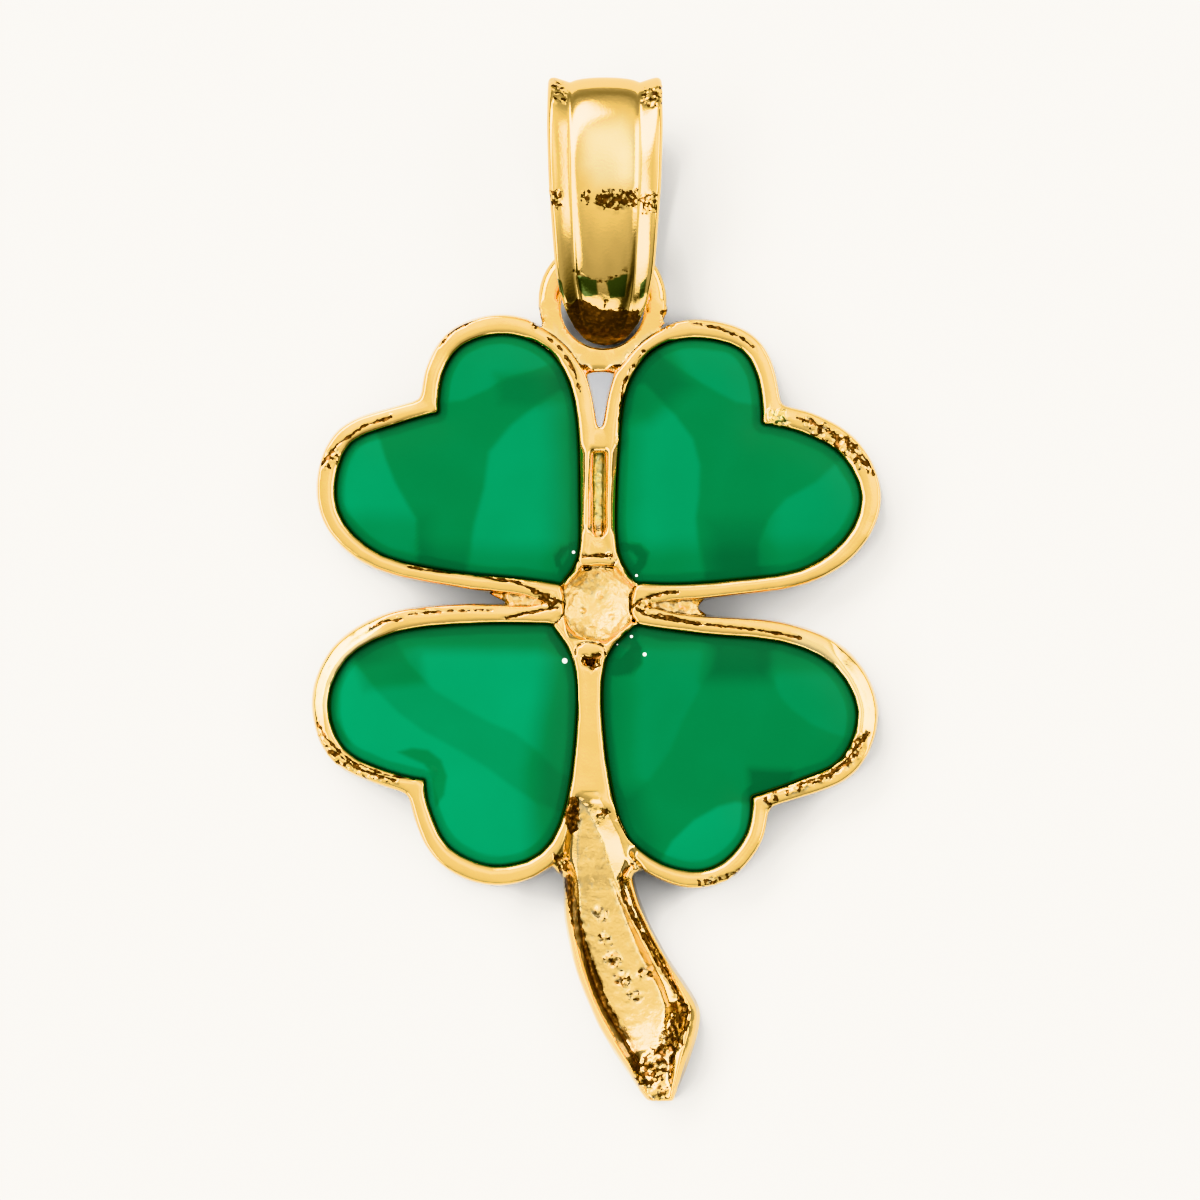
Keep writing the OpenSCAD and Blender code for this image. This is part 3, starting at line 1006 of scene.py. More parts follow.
    def raise_crests(self, points: np.ndarray, outside: np.ndarray, calm: np.ndarray) -> None:
        """Broaden the rims' tops by lifting their shoulders, and slope some of them.

        Args:
            points: positions in millimetres, which it changes.
            outside: gap from each point to the nearest enamel outline.
            calm: share of each point that stays as it is.
        """
        rim = (1.0 - smoothstep(self.rim_reach, self.rim_reach + self.rim_soft, outside)) * (1.0 - calm)
        lifted_shoulder = self.crest - (self.crest - self.shoulder) * self.crest_keep
        steeper = (lifted_shoulder - self.wall_foot) / (self.shoulder - self.wall_foot)
        z = points[:, 2].copy()
        target = np.where(
            z > self.shoulder,
            self.crest - (self.crest - z) * self.crest_keep,
            self.wall_foot + (z - self.wall_foot) * steeper,
        )
        points[:, 2] = np.where(z > self.wall_foot, z + (target - z) * rim, z)
        for region, pull in self.slopes:
            fall = pull * np.clip(outside - self.slope_gap, 0.0, self.slope_reach)
            points[:, 2] -= (z > self.slope_above) * region.mask(points) * fall

    def inner_edge(self, points: np.ndarray, facing: np.ndarray) -> np.ndarray:
        """Find the narrow line on the rim's wall by the enamel that gets painted shade.

        Args:
            points: positions in millimetres.
            facing: normals.

        Returns:
            A share from 0 to 1 for each point.
        """
        low, high = self.edge_z
        wall = (points[:, 2] > low) & (points[:, 2] < high) & (facing[:, 2] < self.edge_facing)
        return 1.0 - smoothstep(*self.edge_gap, self.leaf_gap(points, wall))

    def shaped_hollows(self, points: np.ndarray, facing: np.ndarray) -> np.ndarray:
        """Shape the dish as a bowl, raise the recesses by the noses and taper the head of the stem's channel.

        Args:
            points: positions in millimetres.
            facing: normals.

        Returns:
            New positions.
        """
        z = points[:, 2].copy()
        upward = smoothstep(*UPWARD, facing[:, 2]) * (z > self.hollow_above)
        px, py, radius = self.bowl
        share = np.hypot(*(points[:, :2] - np.array(at(px, py))).T) / (radius * PIXEL)
        low, high = self.bowl_z
        bowl = low + (high - low) * np.clip(share, 0.0, self.bowl_reach) ** self.bowl_power
        z += (bowl - z) * (1.0 - smoothstep(*self.bowl_edge, share)) * upward * (z < self.bowl_top)
        for region in self.recesses:
            z += self.recess_lift * region.mask(points) * upward * (z < self.recess_top)
        head = np.max([region.mask(points) for region in self.ramps], axis=0) * upward
        corners = np.array([at(*spot) for spot in self.channel.path])
        beside = distance_to_path(points[:, :2], corners, closed=True) * ~inside_outline(points[:, :2], corners)
        along = np.clip((corners[:, 1].max() - points[:, 1]) / (self.channel_px * PIXEL), 0.0, 1.0)
        top, foot = self.channel_z
        floor = top + (foot - top) * along + self.channel_slope * np.minimum(beside, self.channel_reach)
        z += (floor - z) * head
        return np.column_stack((points[:, :2], z))


@dataclass
class Bail:
    """The tapered gold loop with a domed middle and two raised edges.

    Its rough places, its painted highlight and its painted dark and green reflections lie on its front, above a line
    that starts at foot_y and middle_z and rises by middle_slope.
    """

    node: str = "bail"
    levels: int = 3
    foot_y: float = 5.6
    middle_z: float = 0.75
    middle_slope: float = 0.16
    front_above: Span = (-0.1, 0.1)
    front_facing: Span = (-0.3, 0.1)
    middle_yz: tuple[float, float] = (8.43, 1.38)
    inner_facing: Span = (0.0, 0.4)
    inner_pale: float = 0.9
    wave_mm: float = 0.002
    wave_cell: float = 0.7
    crease_rounds: int = 8
    painted_crease_shade: Span = (0.0015, 0.006)
    wear_and_painted_light: tuple[WearAndPaintedLight, ...] = ()

    def build(self, finish: bpy.types.Material) -> bpy.types.Object:
        """Model the loop over its solid.

        Args:
            finish: the gold material.

        Returns:
            The piece.
        """
        bm = merged_copy(self.node)
        bmesh.ops.join_triangles(
            bm, faces=bm.faces, angle_face_threshold=math.pi, angle_shape_threshold=math.pi, topology_influence=1.0
        )
        raw = bpy.data.meshes.new("loop")
        bm.to_mesh(raw)
        bm.free()
        mesh = evaluated_mesh(raw, ("SUBSURF", {"levels": self.levels, "render_levels": self.levels}))
        points, facing = read_rows(mesh, "co"), read_rows(mesh, "normal")
        above = points[:, 2] - self.middle_z - self.middle_slope * (points[:, 1] - self.foot_y)
        front = smoothstep(*self.front_above, above) * smoothstep(*self.front_facing, facing[:, 2])
        push, marks = wear_and_painted_light_marks(points, self.wear_and_painted_light, front, Seed.BAIL_MARKINGS)
        # Paler gold painted on the faces turned in towards the loop's middle, against the orange of gold reflecting
        # gold.
        spoke = points[:, 1:] - np.array(self.middle_yz)
        inward = -(spoke * facing[:, 1:]).sum(1) / np.hypot(*spoke.T)
        painted_pale = self.inner_pale * smoothstep(*self.inner_facing, inward)
        marks[Mark.PAINTED_PALE] = np.maximum(marks[Mark.PAINTED_PALE], painted_pale)
        push += self.wave_mm * layered_grain(points, self.wave_cell, Seed.BAIL_WAVE, 2)
        place(mesh, points + facing * push[:, None])
        # Painted shade in the creases.
        marks[Mark.PAINTED_SHADE] = smoothstep(*self.painted_crease_shade, hollows(mesh, self.crease_rounds))
        for mark, values in marks.items():
            write_mark(mesh, mark, values)
        return finished_piece("gold_bail", mesh, finish, Body.BAIL, self.node)


@dataclass
class EnamelPane:
    """One green pane in its leaf."""

    node: str
    painted_bands: tuple[PaintedBand, ...] = ()
    lenses: tuple[Bead, ...] = ()
    segments: int = 300
    rings: int = 56
    outer_rings: tuple[float, ...] = (1.0, 0.994, 0.984, 0.97)
    ring_power: float = 0.95
    last_ring: float = 0.004
    grow: float = 0.028
    wave_mm: float = 0.003
    wave_cell: float = 1.3
    edge_z: float = 1.06
    dome: float = 0.09
    dome_reach: float = 1.1
    lip_drop: float = 0.03
    lip_reach: float = 0.05
    dark_edge: Span = (0.02, 0.09)
    dark_shade: float = 0.95
    deep_edge: Span = (0.18, 0.25)
    deep_shade: float = 0.55
    border_mm: float = 0.05
    border_cell: float = 0.7

    def height(self, points: np.ndarray, outline: np.ndarray) -> np.ndarray:
        """Give the enamel's surface height above the floor.

        Args:
            points: positions in millimetres.
            outline: the pane's outline.

        Returns:
            Height in millimetres for each point.
        """
        gap = distance_to_path(points[:, :2], outline, closed=True)
        rise = 1.0 - (1.0 - np.clip(gap / self.dome_reach, 0.0, 1.0)) ** 2
        lip = np.clip(gap / self.lip_reach, 0.0, 1.0)
        level = self.edge_z + self.dome * rise - self.lip_drop * (1.0 - np.sqrt(1.0 - (1.0 - lip) ** 2))
        for lens in self.lenses:
            level = level + lens.height(points)
        return level + self.wave_mm * layered_grain(points, self.wave_cell, Seed.PANE_WAVE, 2)

    def build(self, finish: bpy.types.Material) -> bpy.types.Object:
        """Model the pane in its solid's place.

        Args:
            finish: the enamel material.

        Returns:
            The piece.
        """
        outline, foot = LeafOutline(self.node, self.segments).trace()
        run = np.roll(outline, -1, axis=0) - np.roll(outline, 1, axis=0)
        outline = outline + self.grow * np.stack((run[:, 1], -run[:, 0]), axis=1) / np.hypot(*run.T)[:, None]
        mesh = self.stacked_rings(outline, foot)
        points = read_rows(mesh, "co")
        points[self.segments:, 2] = self.height(points[self.segments:], outline)
        place(mesh, points)
        self.mark(mesh, outline)
        return finished_piece(self.node.replace("leaf", "enamel"), mesh, finish, Body.CLOVER, self.node)

    def stacked_rings(self, outline: np.ndarray, foot: float) -> bpy.types.Mesh:
        """Draw rings in from the outline and close them, above and below.

        Args:
            outline: the pane's outline.
            foot: height of its foot.

        Returns:
            A flat mesh whose first vertices are the foot's.
        """
        middle = Vector((*outline.mean(0), 0.0))
        bm = bmesh.new()
        first = bmesh.ops.create_circle(bm, segments=self.segments, radius=1.0, cap_ends=False)["verts"]
        first = sorted(first, key=lambda v: math.atan2(v.co.y, v.co.x) % math.tau)
        turn = np.arctan2(outline[:, 1] - middle.y, outline[:, 0] - middle.x) % math.tau
        for vertex, spot in zip(first, outline[np.argsort(turn)]):
            vertex.co = Vector((spot[0], spot[1], foot))
        base = list(bm.edges)
        steps = 1.0 - (np.arange(1, self.rings) / self.rings) ** self.ring_power
        ring, before = base, 1.0
        for share in (*self.outer_rings, *(self.outer_rings[-1] * steps + self.last_ring)):
            made = bmesh.ops.extrude_edge_only(bm, edges=ring)["geom"]
            ring = [part for part in made if isinstance(part, bmesh.types.BMEdge)]
            moved = [part for part in made if isinstance(part, bmesh.types.BMVert)]
            ratio = share / before
            shrink = Matrix.Diagonal((ratio, ratio, 1.0, 1.0))
            around = Matrix.Translation(middle) @ shrink @ Matrix.Translation(-middle)
            bmesh.ops.transform(bm, matrix=around, verts=moved)
            before = share
        bmesh.ops.edgeloop_fill(bm, edges=ring)
        bmesh.ops.triangle_fill(bm, edges=base, use_beauty=True)
        bmesh.ops.recalc_face_normals(bm, faces=bm.faces)
        mesh = bpy.data.meshes.new(self.node)
        bm.to_mesh(mesh)
        bm.free()
        return mesh

    def mark(self, mesh: bpy.types.Mesh, outline: np.ndarray) -> None:
        """Store the pane's painted bands of reflection and shade, a darker band along its border, and its dark edge.

        Args:
            mesh: the pane in millimetres.
            outline: the pane's outline.
        """
        points = read_rows(mesh, "co")
        gap = distance_to_path(points[:, :2], outline, closed=True)
        tone = np.zeros(len(points))
        for patch in self.painted_bands:
            tone += patch.region.mask(points) * patch.amount
        border = gap + self.border_mm * layered_grain(points, self.border_cell, Seed.PANE_BORDER, 2)
        tone -= self.deep_shade * (1.0 - smoothstep(*self.deep_edge, border))
        write_mark(mesh, Mark.PAINTED_BANDS, tone)
        write_mark(mesh, Mark.EDGE, self.dark_shade * (1.0 - smoothstep(*self.dark_edge, gap)))


@dataclass(frozen=True)
class SoftPanel:
    """A soft light seen in a direction from the object. Angles are in degrees."""

    tilt: float
    azimuth: float
    half_width: float
    half_height: float
    strength: float
    soft: float = 0.3
    horizon: float = 0.05

    def glow(self, bench: NodeBench, direction: bpy.types.NodeSocket) -> bpy.types.NodeSocket:
        """Add the nodes for the light that a direction gets from the panel.

        Args:
            bench: the world's node bench.
            direction: the direction socket.

        Returns:
            The panel's light.
        """
        tilt, azimuth = math.radians(self.tilt), math.radians(self.azimuth)
        centre = Vector((math.sin(tilt) * math.cos(azimuth), math.sin(tilt) * math.sin(azimuth), math.cos(tilt)))
        across = Vector((-math.sin(azimuth), math.cos(azimuth), 0.0))
        ahead = bench.dot(direction, tuple(centre))
        share = bench.math("MULTIPLY", bench.ramp(ahead, 0.0, self.horizon), self.strength)
        safe = bench.math("MAXIMUM", ahead, self.horizon)
        for axis, half in ((across, self.half_width), (centre.cross(across), self.half_height)):
            offset = bench.math("ABSOLUTE", bench.math("DIVIDE", bench.dot(direction, tuple(axis)), safe))
            offset = bench.math("DIVIDE", offset, math.tan(math.radians(half)))
            share = bench.math("MULTIPLY", share, bench.ramp(offset, 1.0 + self.soft, 1.0 - self.soft))
        return share


@dataclass
class Studio:
    """Pale floor, soft light from all round with a few panels, and the camera straight above.

    Lengths are in metres. The photograph's scale holds at sharp_height above the pendant's back.
    """

    distance: float = 0.7
    sharp_height: float = 0.001
    clip: Span = (0.01, 10.0)
    floor_half: float = 1.5
    sky: tuple[Spot, ...] = (
        (0.0, 0.6), (0.2, 0.35), (0.34, 0.2), (0.52, 0.35), (0.66, 0.8), (0.80, 0.9), (0.88, 0.92), (0.94, 1.1),
        (0.975, 1.22), (1.0, 1.25)
    )
    brightest: float = 2.0
    unevenness: float = 0.25
    clutter_scale: float = 5.0
    panels: tuple[SoftPanel, ...] = ()
    warmth: Colour = (1.0, 0.99, 0.975)

    def light(self) -> None:
        """Fill the world with light that changes with height, and the panels."""
        world = bpy.data.worlds.new("soft_studio")
        world.use_nodes = True
        bpy.context.scene.world = world
        bench = NodeBench(world.node_tree)
        glow = bench.add("ShaderNodeBackground")
        bench.feed(bench.add("ShaderNodeOutputWorld").inputs["Surface"], glow.outputs[0])
        direction = bench.add("ShaderNodeTexCoord").outputs["Generated"]
        height = bench.add("ShaderNodeSeparateXYZ")
        bench.feed(height.inputs[0], direction)
        bands = bench.add("ShaderNodeValToRGB")
        bench.feed(bands.inputs[0], height.outputs["Z"])
        stops = bands.color_ramp.elements
        while len(stops) < len(self.sky):
            stops.new(0.5)
        for stop, (rise, level) in zip(stops, self.sky):
            stop.position = rise
            stop.color = (*(level / self.brightest,) * 3, 1.0)
        total = bench.math("MULTIPLY", bands.outputs[0], self.brightest)
        for panel in self.panels:
            total = bench.math("ADD", total, panel.glow(bench, direction))
        clutter = bench.add("ShaderNodeTexNoise")
        bench.feed(clutter.inputs["Vector"], direction)
        clutter.inputs["Scale"].default_value = self.clutter_scale
        uneven = bench.math("MULTIPLY", bench.math("SUBTRACT", clutter.outputs["Fac"], 0.5), self.unevenness * 2.0)
        glow.inputs["Color"].default_value = (*self.warmth, 1.0)
        bench.feed(glow.inputs["Strength"], bench.math("MULTIPLY", total, bench.math("ADD", 1.0, uneven)))
        bpy.context.scene.cycles.caustics_reflective = False

    def floor(self) -> None:
        """Lay the floor just under the pendant."""
        bm = bmesh.new()
        bmesh.ops.create_grid(bm, x_segments=1, y_segments=1, size=self.floor_half)
        bmesh.ops.translate(bm, vec=(0.0, 0.0, FLOOR_Z), verts=bm.verts)
        mesh = bpy.data.meshes.new("floor")
        bm.to_mesh(mesh)
        bm.free()
        mesh.materials.append(PaleTable().material())
        table = bpy.data.objects.new("floor", mesh)
        bpy.context.scene.collection.objects.link(table)

    def camera(self) -> None:
        """Hang the camera straight above the photograph's middle."""
        lens = bpy.data.cameras.new("camera")
        lens.lens = lens.sensor_width * (self.distance - self.sharp_height) / (PHOTO_WIDTH * PIXEL * MM)
        lens.clip_start, lens.clip_end = self.clip
        camera = bpy.data.objects.new("camera", lens)
        x, y = at(PHOTO_WIDTH / 2.0, PHOTO_WIDTH / 2.0)
        camera.location = (x * MM, y * MM, self.distance)
        bpy.context.scene.collection.objects.link(camera)
        bpy.context.scene.camera = camera

    def build(self) -> None:
        """Set up light, floor, camera and the picture's tone."""
        self.light()
        self.floor()
        self.camera()
        bpy.context.scene.view_settings.view_transform = "Khronos PBR Neutral"


def line(width: float, *path: Spot, dark: float = 1.5, depth: float = 0.02, rag: float = 0.0, **more: float) -> WearAndPaintedLight:
    """Make a thin line, some pixels wide, that sinks by depth in millimetres and is painted dark brown, standing for
    dark reflections along the rims and shade in the grooves and along the lips.
    """
    region = Region(path, width, soft=0.9, rag=rag or width * 0.4)
    return WearAndPaintedLight(region, dark=dark, depth=depth, **{"frost": 0.2, **more})


def rough(*path: Spot, dark: float = 0.6, relief: float = 0.03, rag: float = 3.0, **more: float) -> WearAndPaintedLight:
    """Make a rough place inside an outline, partly painted dark brown, with bumps of relief millimetres."""
    return WearAndPaintedLight(Region(path, soft=1.5, rag=rag), dark=dark, relief=relief, **{"frost": 0.4, "cell": 0.1, **more})


def grainy(*path: Spot, frost: float = 0.8, relief: float = 0.02, top_z: float = 9.0, **more: float) -> WearAndPaintedLight:
    """Make a dull granular place inside an outline, below top_z and with no brown in it."""
    return WearAndPaintedLight(Region(path, soft=3.0, top_z=top_z), frost=frost, relief=relief, **{"cell": 0.13, **more})


def painted_band(amount: float, soft: float, *path: Spot) -> PaintedBand:
    """Paint a reflection into the enamel as a lighter place, and shade and dark reflection as a darker one where
    amount is negative.
    """
    return PaintedBand(Region(path, soft=soft), amount)


# Along the rims: thin lines carved a little and painted dark brown as dark reflections, rough places partly painted
# dark brown, and broad bands of paler gold painted as highlights.
RIM_WEAR_AND_PAINTED_LIGHT = (
    line(1.7, (797, 418), (812, 422), (826, 430), (840, 439), dark=1.42, rag=1.2),
    line(2.2, (832, 432), (845, 442), (856, 454), (866, 466), dark=1.42, rag=1.6),
    line(1.6, (846, 438), (858, 449), (868, 462), (874, 474), dark=1.35, rag=1.2),
    line(2.0, (317, 722), (326, 738), (338, 750), (358, 766), dark=1.42, rag=1.4),
    line(1.6, (340, 756), (358, 769), (376, 775), (396, 780), dark=1.35, rag=1.2),
    line(1.6, (360, 764), (387, 775), (414, 779), dark=1.2, rag=1.2),
    line(2.2, (868, 733), (858, 746), (846, 760), (836, 770), dark=1.42, rag=1.6),
    line(1.8, (842, 764), (826, 775), (808, 781), (788, 787), dark=1.42, rag=1.4),
    line(1.5, (858, 752), (838, 771), (812, 784), dark=1.27, rag=1.0),
    line(2.5, (322, 464), (337, 445), (364, 426), (392, 417)),
    rough((322, 466), (328, 450), (340, 448), (338, 462), (326, 470), dark=0.5),
    line(2.0, (439, 346), (454, 330), (476, 319), dark=1.2),
    line(2.0, (408, 566), (426, 570), (464, 573), (507, 581), dark=1.35),
    rough((796, 416), (826, 424), (856, 444), (872, 468), (868, 474), (840, 452), (812, 434), dark=0.4,
        relief=0.035),
    line(2.5, (693, 323), (719, 328), (740, 337), (753, 347), dark=1.2),
    line(3.0, (643, 352), (630, 370), (623, 387), (620, 421), dark=1.2, rag=2.0),
    rough((766, 410), (786, 410), (790, 424), (770, 428), dark=0.25, relief=0.05, film=0.3),
    rough((318, 717), (324, 740), (345, 760), (378, 775), (400, 779), (398, 784), (370, 780), (336, 764),
        (317, 742), dark=0.4, relief=0.035),
    line(2.2, (370, 629), (383, 622), (402, 619), dark=1.2),
    line(1.8, (409, 614), (450, 611), (492, 610), dark=1.05),
    rough((858, 732), (866, 735), (858, 758), (836, 777), (806, 788), (784, 796), (784, 791), (806, 782),
        (830, 770), (848, 752), dark=0.45, relief=0.035),
    rough((698, 880), (724, 876), (740, 870), (740, 875), (722, 883), (700, 887), dark=0.5),
    rough((764, 798), (776, 790), (780, 796), (768, 812), dark=0.6),
    line(2.2, (658, 614), (702, 624), (764, 631), (800, 638), dark=1.35),
    line(2.0, (350, 600), (380, 604), (440, 610), dark=0.0),
    WearAndPaintedLight(Region(((372, 630), (348, 648), (330, 668), (322, 690), (320, 708)), 14.0, soft=5.0), painted_pale=1.0),
    WearAndPaintedLight(Region(((800, 640), (826, 652), (846, 668), (858, 686), (865, 706), (866, 722)), 14.0, soft=5.0),
        painted_pale=0.8),
    WearAndPaintedLight(Region(((330, 430), (352, 418), (384, 409), (410, 404)), 9.0, soft=4.0), painted_pale=0.8),
)

# Round the dish, bars and noses: grooves painted dark as shade in them, rough places partly painted dark brown, dull
# granular floors and a film of enamel on a ledge.
CENTRE_WEAR_AND_PAINTED_SHADE = (
    line(2.6, (583, 556), (600, 555), (612, 556), depth=0.04),
    line(1.8, (552, 576), (559, 581), (564, 590), (565, 603), (564, 614), (559, 621), (552, 625), dark=1.1,
        depth=0.05),
    line(1.8, (642, 582), (634, 587), (630, 596), (630, 610), (633, 620), (642, 627), dark=1.1, depth=0.05),
    line(1.6, (577, 560), (581, 566), (598, 568), (612, 566), (617, 560), dark=1.0, depth=0.05),
    line(1.8, (575, 654), (577, 646), (584, 642), (596, 642), (603, 646), (606, 655), dark=1.1, depth=0.05),
    line(2.6, (632, 607), (641, 600), (662, 593), (678, 592), depth=0.03),
    line(2.4, (636, 608), (646, 615), (662, 618), (700, 624), depth=0.03),
    rough((634, 600), (650, 598), (654, 610), (640, 614), dark=0.4, relief=0.03),
    line(2.6, (561, 602), (550, 598), (532, 589), (514, 581), (496, 579), depth=0.03),
    line(2.4, (558, 608), (542, 610), (506, 618), depth=0.03),
    rough((530, 588), (552, 594), (562, 604), (548, 608), (536, 600), dark=0.75, relief=0.03),
    grainy((562, 590), (575, 570), (600, 566), (622, 570), (634, 590), (634, 612), (618, 636), (596, 642),
        (574, 634), (562, 612), frost=0.85, relief=0.022),
    grainy((505, 585), (545, 590), (545, 612), (505, 612), frost=0.7, relief=0.03, top_z=1.1),
    grainy((650, 595), (700, 590), (700, 618), (650, 614), frost=0.7, relief=0.03, top_z=1.1),
    grainy((591, 448), (605, 448), (605, 522), (591, 522), frost=0.9, relief=0.02, top_z=1.1, film=0.35),
    grainy((593, 524), (604, 524), (602, 548), (595, 548), frost=0.6, relief=0.02),
    rough((584, 656), (600, 654), (601, 667), (590, 669), (583, 664), dark=0.85, depth=0.05, rag=4.0),
    grainy((514, 574), (542, 574), (560, 572), (570, 566), (571, 572), (560, 584), (545, 578), frost=0.0,
        relief=0.0, film=0.8),
)

# Down the stem: rough places partly painted dark brown, lines painted dark along its lips, a long band painted dark as
# shade on the channel's left wall, a dull granular floor and rough bumps.
STEM_WEAR_AND_PAINTED_SHADE = (
    rough((569, 799), (577, 797), (580, 814), (576, 832), (570, 838), (566, 821), dark=1.2),
    rough((596, 814), (607, 806), (609, 812), (598, 820), dark=1.0),
    rough((556, 856), (566, 852), (572, 866), (564, 872), dark=0.7),
    line(3.0, (554, 854), (561, 872), (562, 904), dark=1.2),
    line(2.5, (632, 864), (623, 872), (621, 883), dark=1.35),
    WearAndPaintedLight(Region(((568, 880), (574, 911), (584, 950), (593, 976), (604, 1005), (615, 1027), (627, 1050),
        (637, 1065)), 9.5, soft=1.0, rag=1.8), dark=1.5, frost=0.3, depth=0.02),
    line(3.6, (621, 883), (626, 904), (640, 930), (654, 952), (668, 980), (679, 998), (689, 1012), depth=0.03,
        rag=2.0),
    rough((630, 1064), (643, 1060), (657, 1044), (674, 1014), (686, 1008), (690, 1018), (679, 1048), (668, 1072),
        (652, 1086), (638, 1082), dark=0.7, relief=0.07, depth=0.02, cell=0.2, rag=5.0),
    grainy((580, 803), (587, 803), (604, 843), (622, 897), (654, 962), (668, 1005), (654, 1048), (636, 1048),
        (600, 990), (580, 933), (577, 868), frost=0.75, relief=0.012, top_z=1.12),
    rough((640, 1086), (668, 1084), (676, 1092), (660, 1103), (644, 1100), dark=0.15, relief=0.03),
) + tuple(
    WearAndPaintedLight(Region((spot, (spot[0] + 4, spot[1] + 2)), size, soft=2.0, rag=2.0), dark=0.3, frost=0.3, relief=0.07,
        cell=0.14)
    for spot, size in (
        ((598, 914), 13.0), ((603, 938), 12.0), ((611, 959), 14.0), ((620, 978), 14.0), ((642, 974), 10.0),
        ((632, 995), 13.0)
    )
)

PLATE_WEARS = (
    rough((528, 312), (540, 308), (546, 324), (534, 330), dark=0.5, relief=0.05),
    rough((660, 312), (674, 308), (676, 324), (664, 330), dark=0.5, relief=0.05),
    line(2.4, (546, 336), (562, 350), (575, 372), (580, 392), dark=1.2, rag=2.0),
)

FRAME_BEADS = (
    Bead((623, 441), 7.5, 0.16, floor_z=0.6),
    Bead((609, 556), 4.0, 0.07, floor_z=0.6),
    Bead((600, 595), 4.5, 0.05),
    Bead((583, 611), 4.0, 0.045),
    Bead((611, 617), 4.0, 0.045),
    Bead((645, 1056), 34.0, 0.13),
)

# On the bail's front: paler gold painted as a highlight, rough bands painted dark brown as dark reflections across its
# middle and at its foot, rough corners at its top, and green patches under a dark line as painted reflections of the
# enamel.
BAIL_WEAR_AND_PAINTED_LIGHT = (
    WearAndPaintedLight(Region(((584, 128), (622, 120), (640, 138), (640, 184), (596, 186), (582, 166)), soft=13.0), painted_pale=1.0),
    rough((549, 190), (562, 191), (563, 210), (551, 210), dark=0.65, relief=0.02),
    rough((580, 191), (590, 191), (590, 206), (580, 204), dark=0.65, relief=0.02),
    rough((596, 193), (637, 189), (638, 206), (618, 212), (596, 208), dark=0.85, relief=0.02),
    rough((641, 196), (657, 194), (656, 214), (642, 214), dark=0.65, relief=0.02),
    rough((551, 80), (566, 84), (566, 103), (553, 103), dark=0.3, relief=0.03),
    rough((642, 90), (664, 86), (662, 107), (642, 106), dark=0.45, relief=0.03),
    rough((567, 303), (584, 300), (600, 309), (640, 310), (640, 330), (620, 345), (585, 345), (567, 320), dark=1.0,
        relief=0.015, cell=0.16),
    WearAndPaintedLight(Region(((577, 275), (597, 281), (598, 296), (585, 298), (579, 290)), soft=1.0), film=1.0),
    WearAndPaintedLight(Region(((606, 282), (628, 273), (625, 298), (610, 299)), soft=1.0), film=1.0),
    WearAndPaintedLight(Region(((556, 277), (562, 282), (565, 300), (558, 290)), soft=1.0), film=1.0),
    WearAndPaintedLight(Region(((640, 284), (647, 277), (644, 298), (639, 300)), soft=1.0), film=1.0),
    line(1.6, (574, 272), (585, 278), (598, 282), (610, 280), (628, 270), dark=0.8, depth=0.01),
    rough((602, 300), (608, 300), (605, 308), dark=0.8, relief=0.01),
)

